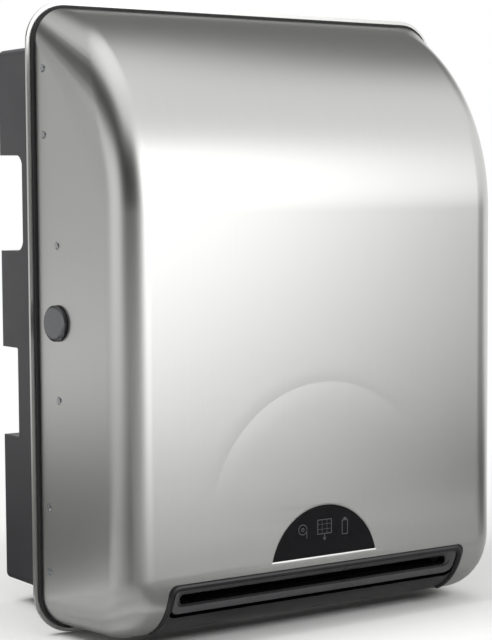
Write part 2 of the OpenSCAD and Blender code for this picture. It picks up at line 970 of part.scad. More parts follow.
// Lower paper guide with ribs along the paper's way
module paper_chute() {
    rise = chute_top - chute_tip;
    back = chute_top + [guide_t, 0];
    span = 2 * (plate_in - rib_side);
    color("#3a3a3c") {
        along_x(-plate_in, 2 * plate_in)
            polygon([
                chute_tip, chute_top, chute_top + [0, chute_stop], back + [0, chute_stop],
                back - [0, guide_t], chute_foot + chute_heel * rise, chute_foot
            ]);
        for (i = [0 : rib_count - 1])
            along_x(-span / 2 + i * span / (rib_count - 1) - rib_w / 2, rib_w)
                polygon([
                    chute_tip + rib_start * rise, chute_tip + rib_full * rise + rib_rise,
                    chute_top + rib_rise + [0, rib_top], chute_top + [0, 2 * rib_top], chute_top
                ]);
    }
}

// Front of the feed module: panel, top ledge, upper paper guide and feed button cup
module front_panel() {
    inner_y = panel_y + guide_t;
    ledge_y = panel_y + panel_ledge;
    color("#47484b") difference() {
        union() {
            along_x(-plate_in, 2 * plate_in)
                polygon([
                    [panel_y, panel_bottom], [guide_y, guide_z], [guide_y, guide_z + guide_t],
                    [inner_y, panel_bottom + panel_lip], [inner_y, panel_top - guide_t],
                    [ledge_y, panel_top - guide_t], [ledge_y, panel_top], [panel_y, panel_top]
                ]);
            translate([feed_x, 0, feed_z])
                rod_y(panel_y, guide_t + feed_room + feed_wall, feed_cup);
            for (x = [-1, 1], z = [-1, 1])
                translate([
                    x * (small_board_w / 2 - post_in), 0, board_z + z * (small_board_h / 2 - post_in)
                ])
                    rod_y(board_y, panel_post + eps, post_r);
        }
        translate([feed_x, 0, feed_z]) {
            rod_y(panel_y - eps, guide_t + 2 * eps, feed_r + run_gap);
            rod_y(inner_y, feed_room, feed_cup - feed_wall);
        }
    }
}

module feed_button() {
    inner_y = panel_y + guide_t + move_gap;
    color("#3f7d4e") translate([feed_x, 0, feed_z]) {
        rod_y(panel_y - feed_out, inner_y - panel_y + feed_out + feed_stem, feed_r);
        rod_y(inner_y, feed_flange_t, feed_cup - feed_wall - move_gap);
    }
}

// Serrated steel strip below the front panel
module tear_bar() {
    half = floor((plate_in - tear_side) / tear_pitch) * tear_pitch;
    teeth = 2 * half / tear_pitch;
    tip_z = slot_top + tear_tip;
    root_z = tip_z + tear_depth;
    top_z = panel_bottom + tear_lap;
    color("#c9cacc") along_y(panel_y - tear_t, tear_t)
        polygon(concat(
            [[half, top_z], [-half, top_z], [-half, root_z]],
            [for (i = [0 : teeth - 1]) each [
                [-half + (i + 0.5) * tear_pitch, tip_z],
                [-half + (i + 1) * tear_pitch, root_z]
            ]]
        ));
}

module bush(y, z, bore) {
    start = plate_in - bush_t;
    length = bush_t + plate_t + bush_end;
    at_yz(y, z) difference() {
        union() {
            rod_x(start, length, bore + bush_wall);
            rod_x(start, bush_t, bore + bush_wall + bush_flange);
        }
        rod_x(start - eps, length + 2 * eps, bore + run_gap);
    }
}

module drive_bushes() {
    color("#b5893c") both_sides() bush(drive_y, drive_z, shaft_r);
}

module pinch_bushes() {
    color("#b5893c") both_sides() bush(pinch_y, pinch_z, pinch_shaft_r);
}

// Rubber roller with grooves between its bands
module drive_roller() {
    pitch = 2 * roller_half / roller_bands;
    color("#262627") at_yz(drive_y, drive_z) difference() {
        rod_x(-roller_half, 2 * roller_half, drive_r);
        rod_x(-roller_half - eps, 2 * roller_half + 2 * eps, shaft_r + press_gap);
        for (i = [1 : roller_bands - 1])
            translate([-roller_half + i * pitch - roller_groove_w / 2, 0, 0]) difference() {
                rod_x(0, roller_groove_w, drive_r + eps);
                rod_x(-eps, roller_groove_w + 2 * eps, drive_r - roller_groove_t);
            }
    }
}

module drive_shaft() {
    left = plate_out + shaft_end;
    color("#c2c4c6") at_yz(drive_y, drive_z)
        rod_x(-left, left + gear_x + gear_w + shaft_over, shaft_r);
}

module pinch_roller() {
    color("#565759") at_yz(pinch_y, pinch_z) difference() {
        rod_x(-roller_half, 2 * roller_half, pinch_r);
        rod_x(-roller_half - eps, 2 * roller_half + 2 * eps, pinch_shaft_r + press_gap);
    }
}

module pinch_shaft() {
    half = plate_out + shaft_end;
    color("#c2c4c6") at_yz(pinch_y, pinch_z) rod_x(-half, 2 * half, pinch_shaft_r);
}

// Spur gear with a rim, a web and a hub
module gear(y, z, teeth, phase, bore, hub) {
    rim = gear_m * (teeth / 2 - tooth_foot) - gear_rim;
    at_yz(y, z) difference() {
        along_x(gear_x, gear_w) rotate(phase) polygon(gear_outline(teeth));
        if (rim > hub + gear_rim)
            difference() {
                rod_x(gear_x + gear_web, gear_w, rim);
                rod_x(gear_x, gear_w + eps, hub);
            }
        rod_x(gear_x - eps, gear_w + 2 * eps, bore);
    }
}

module drive_gear() {
    color("#d9d6cc")
        gear(drive_y, drive_z, drive_teeth, drive_phase, shaft_r + press_gap, drive_hub);
}

module idler_gear() {
    color("#d9d6cc")
        gear(idler_y, idler_z, idler_teeth, idler_phase, idler_r + run_gap, idler_hub);
}

// Fixed stub with a collar that keeps the idler off the plate, and a head that keeps it on
module idler_axle() {
    end = gear_x + gear_w + move_gap;
    color("#c2c4c6") at_yz(idler_y, idler_z) {
        rod_x(plate_in, end - plate_in, idler_r);
        rod_x(plate_out, gear_x - move_gap - plate_out, idler_r + idler_head_w);
        rod_x(end, idler_head_t, idler_r + idler_head_w);
    }
}

module feed_motor() {
    color("#9fa1a4") at_yz(pinion_y, pinion_z) difference() {
        union() {
            rod_x(plate_in - motor_len, motor_len, motor_r);
            rod_x(plate_in - motor_len - motor_nose, motor_nose + eps, motor_nose_r);
        }
        rod_x(plate_in - motor_shaft_in, motor_shaft_in + eps, motor_shaft_r + run_gap);
    }
}

// Pinion in one piece with the motor's shaft
module motor_pinion() {
    start = plate_in - motor_shaft_in + move_gap;
    color("#c8a24a") {
        gear(pinion_y, pinion_z, pinion_teeth, pinion_phase, motor_shaft_r - eps, motor_shaft_r);
        at_yz(pinion_y, pinion_z) rod_x(start, gear_x + gear_w - start, motor_shaft_r);
    }
}

module indicator_board() {
    color("#2f6b46") along_y(board_y - board_t, board_t)
        translate([0, board_z]) round_rect(small_board_w, small_board_h, board_r);
}

module indicator_leds() {
    front = board_y - board_t - led_len;
    color("#e8e8e2") for (i = [-1 : 1]) translate([i * led_pitch, 0, led_z]) {
        rod_y(front, led_len, led_r);
        translate([0, front, 0]) sphere(r = led_r);
    }
}

// Board on the posts of the box, with its tallest components
module control_board() {
    color("#2f6b46") {
        along_y(control_y, board_t)
            translate([0, control_z]) round_rect(board_w, board_h, board_r);
        for (x = can_x) translate([x, 0, control_z + can_up]) rod_y(control_y - can_h, can_h, can_r);
        translate([chip_at[0], control_y - chip_size[1], control_z + chip_at[1]]) cube(chip_size);
    }
}

// Open case with two ears for the lid
module battery_case() {
    color("#3d3e41") difference() {
        union() {
            translate([-case_half, case_front, floor_z]) cube([2 * case_half, case_d, case_h]);
            both_sides() {
                at_yz(door_axis_y, door_axis_z) rod_x(ear_x, ear_w, door_knuckle);
                translate([ear_x, door_axis_y - door_knuckle, floor_z + case_h - eps])
                    cube([ear_w, 2 * door_knuckle, door_axis_z - floor_z - case_h + eps]);
            }
        }
        translate([-case_half + case_t, case_front + case_t, floor_z + case_t])
            cube([2 * (case_half - case_t), case_d - 2 * case_t, case_h]);
        at_yz(door_axis_y, door_axis_z)
            rod_x(-case_half - eps, 2 * case_half + 2 * eps, door_pin_r + run_gap);
    }
}

// One cell with its cap, from its foot at 0
module cell() {
    rod_x(0, cell_len - cell_cap_h, cell_d / 2);
    rod_x(0, cell_len, cell_cap_r);
}

module battery_cells() {
    color("#b08d3a") for (s = [-1, 1], i = [0, 1])
        translate([s * seat_gap, cell_ys[i], cell_z])
            if ((s > 0) == (i == 0)) {
                translate([s > 0 ? 0 : -cell_len, 0, 0]) cell();
            } else {
                translate([s > 0 ? cell_len : 0, 0, 0]) mirror([1, 0, 0]) cell();
            }
}

// Contact plates at both ends of the case
module battery_contacts() {
    w = contact_w;
    color("#c9b27a") both_sides() for (y = cell_ys)
        translate([cell_len + 2 * seat_gap, y - w / 2, cell_z - w / 2])
            cube([contact_t - 3 * seat_gap, w, w]);
}

// Lid of the battery case, with its knuckle between the ears of the case
module battery_door() {
    inner = ear_x - move_gap;
    edge_y = door_axis_y - door_knuckle - move_gap;
    color("#4b4c50") {
        translate([-case_half, case_front, door_low])
            cube([2 * case_half, edge_y - case_front, door_t]);
        translate([-inner, edge_y - eps, door_low])
            cube([2 * inner, door_axis_y - edge_y + eps, door_t]);
        translate([-door_tab_w / 2, case_front - door_tab, door_low])
            cube([door_tab_w, door_tab + eps, door_t]);
        at_yz(door_axis_y, door_axis_z) {
            rod_x(-inner, 2 * inner, door_knuckle - move_gap);
            rod_x(-case_half + door_pin_in, 2 * (case_half - door_pin_in), door_pin_r);
        }
    }
}

// Raised half disc: highest at its top, level with the front at its middle, sloped round its arc
module front_disc() {
    tilt = asin(disc_h / disc_r);
    hull() {
        translate([0, -cover_reach, disc_z]) rotate([90 + tilt, 0, 0]) half_disc();
        translate([0, -cover_reach + disc_h, disc_z + 2 * disc_slope]) rotate([90, 0, 0]) half_disc();
    }
}

// Upper half of a disc, in XY, with its face at 0
module half_disc() {
    translate([0, 0, -disc_h]) linear_extrude(disc_h) intersection() {
        circle(r = disc_r, $fn = disc_facets);
        span_rect([-disc_r, -disc_under], [disc_r, disc_r]);
    }
}

// Half-round outline of the window, grown at its round side and lowered at its base
module window_outline(grow, below) {
    intersection() {
        translate([0, window_z]) circle(r = window_r + grow);
        span_rect([-2 * window_r, window_base - below], [2 * window_r, window_base + 2 * window_r]);
    }
}

// Outline of the trim's opening, which runs on below the cover
module trim_outline(inset) {
    round_span(
        [-trim_w / 2 + inset, trim_top - inset - 2 * trim_h], [trim_w / 2 - inset, trim_top - inset],
        trim_r - inset
    );
}

module rivet_holes(spots) {
    for (p = spots)
        translate([-eps, -p[0], p[1]]) rod_x(0, stiff_out + 2 * eps, rivet_shank + press_gap);
}

function lock_spots() = [for (p = rivet_spots, s = [-1, 1]) [p[0], s * p[1]]];
function leaf_spots() = [for (z = hinge_zs, y = leaf_rows, s = [-1, 1]) [y, z + s * leaf_rivet]];

// Pressed steel cover: shell, folded back edge and cut-outs
module cover_shell() {
    notch = 2 * (knuckle_r + hinge_out + hinge_fore);
    color("#c8c8c6") difference() {
        union() {
            difference() {
                union() {
                    cover_form(0, cover_back);
                    front_disc();
                }
                cover_form(cover_t, cover_back + eps);
            }
            along_y(cover_back - cover_t, cover_t) difference() {
                round_rect(2 * (cover_half - fold_in), 2 * (cover_top - fold_in), cover_r - fold_in);
                round_rect(2 * (cover_half - fold_w), 2 * (cover_top - fold_w), cover_r - fold_w);
            }
        }
        along_y(-cover_reach - eps - disc_h, cover_t + disc_h + 2 * eps) window_outline(0, 0);
        along_y(-2 * cover_reach, trim_back + 2 * cover_reach) trim_outline(0);
        left_wall() {
            translate([0, -lock_back, 0]) rod_x(-eps, cover_t + 2 * eps, button_r + move_gap);
            rivet_holes(lock_spots());
        }
        right_wall() rivet_holes(leaf_spots());
        for (z = hinge_zs)
            translate([hinge_x, hinge_y - knuckle_r - 2 * hinge_room, z])
                translate([-notch / 2, 0, -hinge_span / 2 - hinge_room])
                    cube([notch, notch, hinge_span + pin_head_h + seat_gap + 2 * hinge_room]);
    }
}

// Section of the trim: follows the foot of the cover
module trim_section(outer, rear) {
    intersection() {
        union() {
            difference() {
                translate([foot_y, foot_z]) circle(r = outer);
                translate([foot_y, foot_z]) circle(r = trim_in_r);
            }
            span_rect([foot_y, foot_z - outer], [rear, foot_z - trim_in_r]);
        }
        union() {
            span_rect([foot_y - 2 * foot_r, foot_z - 2 * foot_r], [foot_y, foot_z]);
            span_rect([foot_y - eps, foot_z - 2 * foot_r], [rear, foot_z - trim_in_r]);
        }
    }
}

// Slot outline, grown by g
module slot_outline(g) {
    translate([0, slot_top - slot_h / 2])
        round_rect(slot_w + 2 * g, slot_h + 2 * g, slot_h / 2 - slot_edge + g);
}

// Moulded surround of the paper slot, with a ridge under and beside the slot
module chute_trim() {
    front = -2 * cover_reach;
    deep = trim_back - front;
    flange = trim_w / 2 + trim_flange;
    color("#3a3b3d") difference() {
        union() {
            intersection() {
                along_x(-trim_w / 2, trim_w) trim_section(foot_r - trim_sink, trim_back - move_gap);
                along_y(front, deep) trim_outline(move_gap);
            }
            intersection() {
                along_x(-flange, 2 * flange)
                    trim_section(foot_r - cover_t - 2 * move_gap, trim_back + trim_flange);
                along_y(front, deep + trim_flange) trim_outline(-trim_flange_top);
            }
        }
        difference() {
            intersection() {
                along_y(front, deep)
                    round_span(
                        [-slot_w / 2 - mouth_margin, mouth_bottom],
                        [slot_w / 2 + mouth_margin, mouth_top], mouth_r
                    );
                difference() {
                    translate([-trim_w, front, foot_z - foot_r])
                        cube([2 * trim_w, foot_y - front, foot_r]);
                    at_yz(foot_y, foot_z) rod_x(-trim_w, 2 * trim_w, foot_r - mouth_sink);
                }
            }
            intersection() {
                at_yz(foot_y, foot_z) rod_x(-trim_w, 2 * trim_w, foot_r - ridge_sink);
                along_y(front, deep) difference() {
                    slot_outline(ridge_w);
                    span_rect([-trim_w, slot_top - slot_h + ridge_up], [trim_w, slot_top + trim_h]);
                }
            }
        }
        along_y(front, deep - slot_rim) slot_outline(0);
    }
}

// Smoked window: flange behind the cover and a face in its opening
module window_lens() {
    flange_y = -cover_reach + cover_t + move_gap;
    face_y = -cover_reach + window_sink;
    color("#232124") {
        along_y(flange_y, lens_t) window_outline(lens_flange, lens_foot);
        along_y(face_y, flange_y - face_y) window_outline(-move_gap, -move_gap);
    }
}

// Steel strip behind the left wall, under the rivets and the lock
module lock_stiffener() {
    color("#a4a4a3") left_wall() difference() {
        along_x(stiff_in, stiff_t) {
            round_span([-stiff_w, -stiff_half], [-stiff_back, stiff_half], stiff_end_r);
            round_span(
                [-stiff_front, -rivet_inner_z - stiff_mid], [-stiff_back, rivet_inner_z + stiff_mid],
                stiff_mid_r
            );
        }
        translate([0, -lock_back, 0]) rod_x(0, 2 * stiff_out, button_r + 2 * eps);
        rivet_holes(lock_spots());
    }
}

module lock_housing() {
    seat = stiff_out + seat_gap;
    color("#77787b") left_wall() translate([0, -lock_back, 0]) difference() {
        union() {
            rod_x(seat, house_end - seat, house_r);
            rod_x(seat, house_flange_t, house_r + house_flange);
        }
        rod_x(0, house_end - house_wall, button_r + run_gap);
        rod_x(0, house_end + eps, stem_r + run_gap);
    }
}

module lock_button() {
    rear = house_end - house_wall - button_travel - button_stop + button_out;
    end = hook_x + hook_t + button_out;
    color("#5d5e61") left_wall() translate([-button_out, -lock_back, 0]) rotate([0, 90, 0])
        rotate_extrude()
            polygon([
                [0, 0], [button_r - button_edge, 0], [button_r, button_edge], [button_r, rear],
                [stem_r, rear], [stem_r, end], [0, end]
            ]);
}

// Plate on the lock stem, with a tooth behind the keeper's lip
module latch_hook() {
    front = -lock_back - hook_low;
    color("#a0a1a3") left_wall() difference() {
        union() {
            translate([hook_x, front, -hook_low])
                cube([hook_t, -tooth_back - front, hook_low + hook_top]);
            translate([tooth_x, -tooth_back - tooth_t, hook_top - tooth_h])
                cube([hook_x - tooth_x + eps, tooth_t, tooth_h]);
        }
        translate([0, -lock_back, 0]) rod_x(hook_x - eps, hook_t + 2 * eps, stem_r + press_gap);
        translate([hook_x - eps, front - eps, hook_low])
            cube([hook_t + 2 * eps, hook_cut, hook_top]);
    }
}

// Leaves inside the right wall, with their knuckles outside it
module hinge_leaves() {
    arm_x = cover_half - cover_t - leaf_arm_in;
    color("#9a9a9a") for (z = hinge_zs) {
        difference() {
            union() {
                right_wall() along_x(stiff_in, stiff_t)
                    span_rect([-leaf_front, z - leaf_half], [-leaf_back, z + leaf_half]);
                translate([arm_x, hinge_y - knuckle_r, z - leaf_half])
                    cube([hinge_x - arm_x, leaf_arm_t, 2 * leaf_half]);
                translate([hinge_x, hinge_y, z - leaf_half])
                    cylinder(h = 2 * leaf_half, r = knuckle_r);
            }
            translate([hinge_x, hinge_y, z - leaf_half - eps])
                cylinder(h = 2 * leaf_half + 2 * eps, r = pin_r + run_gap);
            right_wall() rivet_holes(leaf_spots());
        }
    }
}

// Rivet with a low head outside and a tail inside
module rivet() {
    tail_r = rivet_r - 2 * rivet_taper;
    tail_end = stiff_out + rivet_tail;
    rotate([0, 90, 0]) rotate_extrude()
        polygon([
            [0, -rivet_head], [rivet_r - rivet_head, -rivet_head], [rivet_r, 0], [rivet_shank, 0],
            [rivet_shank, stiff_out], [tail_r, stiff_out], [tail_r - rivet_taper, tail_end],
            [0, tail_end]
        ]);
}

module rivets_left() {
    color("#8f8f8e") left_wall() for (p = lock_spots()) translate([0, -p[0], p[1]]) rivet();
}

module rivets_right() {
    color("#8f8f8e") right_wall() for (p = leaf_spots()) translate([0, -p[0], p[1]]) rivet();
}

chassis_box();
chassis_back();
chassis_wing_left();
chassis_wing_right();
wall_frame();
frame_gasket();
hinge_lugs();
hinge_pins();
latch_keeper();
hub_axle_left();
hub_axle_right();
side_plate_left();
side_plate_right();
tie_rods();
paper_chute();
front_panel();
tear_bar();
drive_bushes();
pinch_bushes();
feed_motor();
idler_axle();
indicator_board();
indicator_leds();
control_board();
battery_case();
battery_cells();
battery_contacts();
cover_shell();
chute_trim();
window_lens();
lock_stiffener();
lock_housing();
hinge_leaves();
rivets_left();
rivets_right();
lock_button();
latch_hook();
roll_hub_left();
hub_plunger();
roll_hub_right();
drive_roller();
drive_shaft();
drive_gear();
pinch_roller();
pinch_shaft();
idler_gear();
motor_pinion();
battery_door();
feed_button();
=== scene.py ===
"""Looks of a recessed roll towel dispenser with a side-hinged stainless steel cover."""

import json
import math

import bmesh
import bpy
from bmesh.types import BMEdge, BMFace, BMVert
from bpy.props import FloatProperty, FloatVectorProperty, PointerProperty
from mathutils import Matrix, Vector


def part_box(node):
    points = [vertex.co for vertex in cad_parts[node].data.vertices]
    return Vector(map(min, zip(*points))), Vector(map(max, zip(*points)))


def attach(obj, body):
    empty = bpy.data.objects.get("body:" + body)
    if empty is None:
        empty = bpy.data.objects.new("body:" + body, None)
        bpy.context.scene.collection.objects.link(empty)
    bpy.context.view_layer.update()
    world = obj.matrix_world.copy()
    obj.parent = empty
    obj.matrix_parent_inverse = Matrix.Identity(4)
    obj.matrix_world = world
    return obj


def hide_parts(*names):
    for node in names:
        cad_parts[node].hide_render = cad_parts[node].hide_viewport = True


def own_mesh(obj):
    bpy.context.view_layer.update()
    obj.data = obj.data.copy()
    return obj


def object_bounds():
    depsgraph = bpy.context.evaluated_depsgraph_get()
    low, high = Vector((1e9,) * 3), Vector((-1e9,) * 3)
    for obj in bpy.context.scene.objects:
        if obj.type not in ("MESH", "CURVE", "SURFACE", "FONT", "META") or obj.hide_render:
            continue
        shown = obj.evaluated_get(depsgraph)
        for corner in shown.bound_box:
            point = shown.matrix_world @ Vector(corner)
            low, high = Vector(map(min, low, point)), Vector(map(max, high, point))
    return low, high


bl_info = {
    "name": "Towel dispenser looks",
    "version": (1, 0, 0),
    "blender": (4, 5, 0),
    "location": "View3D > Sidebar > Dispenser",
    "description": "Dresses the solids of a recessed towel dispenser",
    "category": "Object",
}

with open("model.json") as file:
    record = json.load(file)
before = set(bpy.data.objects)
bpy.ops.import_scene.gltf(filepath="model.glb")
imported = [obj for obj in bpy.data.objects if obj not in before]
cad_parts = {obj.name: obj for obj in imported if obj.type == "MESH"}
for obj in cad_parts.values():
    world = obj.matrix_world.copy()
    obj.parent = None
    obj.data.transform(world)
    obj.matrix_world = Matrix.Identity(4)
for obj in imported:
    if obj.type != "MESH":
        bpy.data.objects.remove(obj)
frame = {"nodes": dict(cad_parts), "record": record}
CAD_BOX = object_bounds()
COVER_LOW, COVER_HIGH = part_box("cover_shell")
LENS_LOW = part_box("window_lens")[0]
BOARD_LOW, BOARD_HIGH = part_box("control_board")
PANEL_LOW, PANEL_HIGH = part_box("indicator_board")
PLATE_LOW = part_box("side_plate_right")[0]

MM = 0.001
RIGHT = (1, 0, 0)
BACK = (0, 1, 0)
FRONT = (0, -1, 0)
UP = (0, 0, 1)
WHITE = (1, 1, 1)
DISC_RISE = 0.6 * MM  # lean of the solid's half disc, which the looks leave out
BOARD_T = 1.6 * MM  # thickness of a circuit board
SCREW_INSET = 5 * MM  # from the edges of a board to its screws
HINGE_HALF = 10 * MM  # half the height of a hinge leaf
SAME_POINT = 1e-6  # points closer than this are one
FRONT_EDGE = 1e-5  # depth within which an edge is a foremost one
NOISE_SPAN = (0.3, 0.7)  # where nearly all values of a noise lie
CARD_CORE = 0.35  # share of a card's half width that is full, before it fades

# Name, place, side and power of each lamp
LAMPS = (
    ("key", (1.2, -2.2, 1.8), 1.4, 44),
    ("upper_left", (-0.75, 0.05, 0.85), 0.5, 9),
    ("overhead", (0, -0.4, 2.6), 2.2, 28),
)
# Name, turn and rise in degrees, distance, width, height and strength of each card round the dispenser
CARDS = (
    ("bright_front", 19, 13, 3.0, 3.0, 3.2, 2.5),
    ("bright_over", 20, 82, 3.2, 3.2, 3.0, 1.3),
    ("dark_camera", -37, 8, 2.9, 4.8, 5.0, 0.02),
    ("dark_high", -82, 41, 3.2, 5.4, 2.8, 0.05),
    ("dark_behind", -140, 28, 3.3, 3.6, 2.6, 0.06),
    ("dark_over", 126, 44, 3.4, 5.4, 3.4, 0.18),
    ("dark_top", 178, 62, 3.3, 4.2, 2.8, 0.12),
    ("dark_right", 57, -9, 2.8, 2.7, 1.7, 0.03),
    ("grey_side", -126, 0, 3.0, 3.6, 2.0, 0.52),
)
# Name, place, width, depth and strength of each card on the floor
FLOOR_CARDS = (
    ("floor_front", 0.6, -0.44, 1.9, 1.2, 0.04),
    ("floor_right", 1.2, -0.8, 2.0, 1.5, 0.03),
    ("floor_bright", 0.34, -1.5, 1.2, 1.5, 1.9),
    ("floor_camera", -0.6, -0.6, 1.4, 1.4, 0.08),
    ("floor_left", -0.5, 0.2, 1.8, 1.8, 0.15),
)


def linear(code):
    """Linear colour of an sRGB hex value."""
    parts = [int(code[i : i + 2], 16) / 255 for i in (1, 3, 5)]
    return [c / 12.92 if c <= 0.04045 else ((c + 0.055) / 1.055) ** 2.4 for c in parts]


def length(name, description, default):
    return FloatProperty(
        name=name, description=description, default=default, min=0, precision=5, unit="LENGTH"
    )


def colour(name, description, code):
    return FloatVectorProperty(
        name=name, description=description, default=linear(code), min=0, max=1, size=3, subtype="COLOR"
    )


class DispenserSizes(bpy.types.PropertyGroup):
    """Sizes of the pieces that the looks add or replace"""

    cover_half: length("Cover half width", "Half the width of the cover at the wall", COVER_HIGH.x)
    cover_top: length("Cover half height", "Half the height of the cover", COVER_HIGH.z)
    cover_gap: length("Cover gap", "Distance from the wall to the back of the cover", -COVER_HIGH.y)
    cover_reach: length("Cover reach", "Distance from the wall to the flat front", -COVER_LOW.y - DISC_RISE)
    disc_r: length("Disc radius", "Radius of the pressed half disc", 92 * MM)
    disc_up: length("Disc middle", "Height of the half disc's middle above the cover's underside", 69.6 * MM)
    disc_h: length("Disc depth", "Depth of the crease over the top of the half disc", 0.11 * MM)
    disc_out: length("Outer shoulder", "Width of the shoulder outside that crease", 11 * MM)
    disc_in: length("Inner shoulder", "Width of the shoulder inside that crease", 16 * MM)
    draft: length("Draft", "Taper of each side from back to front", 8.2 * MM)
    edge_r: length("Edge radius", "Radius along the front edges", 22.5 * MM)
    crown_r: length("Crown radius", "Radius of the curved top", 142 * MM)
    foot_r: length("Foot radius", "Radius of the curved bottom", 45 * MM)
    rim_r: length("Rim radius", "Corner radius of the cover at the wall", 23.2 * MM)
    sheet_t: length("Sheet", "Thickness of the cover sheet", 1.2 * MM)
    fold_w: length("Fold", "Depth of the folded back edge", 8 * MM)
    window_r: length("Window radius", "Radius of the round side of the window", 43.8 * MM)
    window_base: length("Window base", "Height of the window base above the cover's underside", 44.9 * MM)
    window_h: length("Window height", "Height of the window", 34.2 * MM)
    window_edge: length("Window edge", "Width of the chamfer round the window", 1.2 * MM)
    trim_w: length("Trim width", "Width of the opening for the chute trim", 245 * MM)
    trim_h: length("Trim height", "Height of that opening above the cover's underside", 39.2 * MM)
    trim_r: length("Trim corner", "Corner radius of that opening", 6 * MM)
    trim_back: length("Trim back", "Distance of the rear of that opening from the wall", 45 * MM)
    lock_r: length("Lock hole", "Radius of the hole for the lock button", 11.8 * MM)
    gasket_in: length("Gasket inset", "Steel left to see outside the gasket", 2.7 * MM)
    gasket_w: length("Gasket width", "Width of the gasket bead", 5.4 * MM)
    gasket_r: length("Gasket edge", "Radius along the front edges of the gasket bead", 1.1 * MM)
    bead_r: length("Trim bead", "Radius of the bead along the top and ends of the trim", 2.4 * MM)
    bead_sink: length("Bead depth", "Depth of the middle of that bead under the cover's curve", 1.4 * MM)
    mouth_half: length("Mouth", "Half the width of the moulded mouth round the paper slot", 116.8 * MM)
    mouth_end: length("Mouth end", "Width of each end of that mouth", 6 * MM)
    mouth_top: length("Mouth top", "Way round the foot from its start to the mouth's top", 8.4 * MM)
    mouth_bottom: length("Mouth bottom", "Way round the foot from its start to the mouth's bottom", 29 * MM)
    mouth_sink: length("Mouth sink", "Depth of the mouth's edge under the cover's curve", 0.5 * MM)
    mouth_deep: length("Mouth depth", "Depth of the mouth's roll at the top of the slot", 6 * MM)
    mouth_t: length("Mouth wall", "Thickness of the mouth", 0.8 * MM)
    slot_top: length("Slot top", "Way round the foot from its start to the slot's top", 15.8 * MM)
    slot_bottom: length("Slot bottom", "Way round the foot from its start to the slot's bottom", 22.8 * MM)
    lock_edge: length("Lock edge", "Radius of the outer edge of the lock button", 1.4 * MM)
    line_w: length("Sign line", "Width of the lines of the window's signs", 0.55 * MM)
    wire_r: length("Spring wire", "Radius of the wire of the hub spring", 0.6 * MM)
    spring_r: length("Spring", "Mean radius of the hub spring", 8.5 * MM)
    screw_r: length("Screw head", "Head radius of the small screws", 2.9 * MM)


class DispenserColours(bpy.types.PropertyGroup):
    """Colours of the finishes"""

    stainless: colour("Stainless steel", "Brushed stainless steel", "#cbcbc9")
    zinc: colour("Zinc plating", "Bright zinc on steel", "#b9bbbd")
    lock: colour("Lock", "Dark satin metal of the lock", "#828385")
    # Trim and mouth are one plastic, in two tones. Charcoal is darkened to paint the shade on the trim's
    # lower band. The mouth tone is painted lighter, as if lit from above.
    charcoal: colour("Charcoal plastic, painted darker", "Moulded chute trim", "#18181a")
    mouth: colour("Mouth plastic, painted lighter", "Moulded mouth round the paper slot", "#464648")
    black: colour("Black plastic", "Moulded box", "#2b2a2d")
    grey: colour("Grey plastic", "Guides and cases", "#47484b")
    hub: colour("Hub plastic", "Roll hubs", "#74777a")
    acetal: colour("Acetal", "Natural gear plastic", "#dcd8cb")
    green: colour("Button plastic", "Feed button", "#3f7d4e")
    smoke: colour("Smoked window", "Window lens", "#0f0e11")
    mark: colour("Window marks", "Printed signs in the window", "#47444a")
    resin: colour("Lamp resin", "Indicator lamps", "#e6e5de")
    mask: colour("Solder mask", "Circuit boards", "#2c6644")
    jacket: colour("Cell jacket", "Wrap of the battery cells", "#2a2a2c")
    copper: colour("Cell band", "Band on the battery cells", "#b3823f")
    bronze: colour("Bronze", "Sintered bushes and pinion", "#b08a4a")
    rubber: colour("Rubber", "Gasket and rollers", "#212122")
    floor: colour("Floor", "Floor under the dispenser", "#f4f4f3")


def add(tree, kind, inputs=None, **settings):
    """Adds a node with its settings, and sets or links its inputs."""
    node = tree.nodes.new(kind)
    for name, value in settings.items():
        setattr(node, name, value)
    for key, value in (inputs or {}).items():
        if isinstance(value, bpy.types.NodeSocket):
            tree.links.new(value, node.inputs[key])
        else:
            node.inputs[key].default_value = value
    return node


def rgba(tone, share=1.0):
    return [c * share for c in tone] + [1.0]


def finish(name, shade):
    """A material whose shader is made by shade(tree)."""
    material = bpy.data.materials.new(name)
    material.use_nodes = True
    tree = material.node_tree
    tree.nodes.clear()
    add(tree, "ShaderNodeOutputMaterial", {"Surface": shade(tree).outputs[0]})
    return material


def surface(tree, tone, shades, gloss, clouds, grain, depth, place=None):
    """Tone, gloss and relief of a finish. Clouds of a size in mm vary the tone by its share in shades and the
    roughness within gloss, and a grain of a size in mm stands up by a depth in mm."""
    if place is None:
        place = add(tree, "ShaderNodeTexCoord").outputs["Object"]
    patterns = []
    for sizes in (clouds, grain):
        spot = add(tree, "ShaderNodeMapping", {"Vector": place, "Scale": [1 / (size * MM) for size in sizes]})
        noise = add(tree, "ShaderNodeTexNoise", {"Vector": spot.outputs[0], "Scale": 1.0, "Detail": 3.0})
        patterns.append(noise.outputs["Fac"])
    cloud, fine = patterns
    ramp = add(tree, "ShaderNodeValToRGB", {"Fac": cloud})
    for stop, value, share in zip(ramp.color_ramp.elements, NOISE_SPAN, shades):
        stop.position = value
        stop.color = rgba(tone, share)
    low, high = NOISE_SPAN
    rough = add(
        tree,
        "ShaderNodeMapRange",
        {"Value": cloud, "From Min": low, "From Max": high, "To Min": gloss[0], "To Max": gloss[1]},
    )
    bump = add(tree, "ShaderNodeBump", {"Height": fine, "Strength": 1.0, "Distance": depth * MM})
    return {"Base Color": ramp.outputs[0], "Roughness": rough.outputs[0], "Normal": bump.outputs[0]}


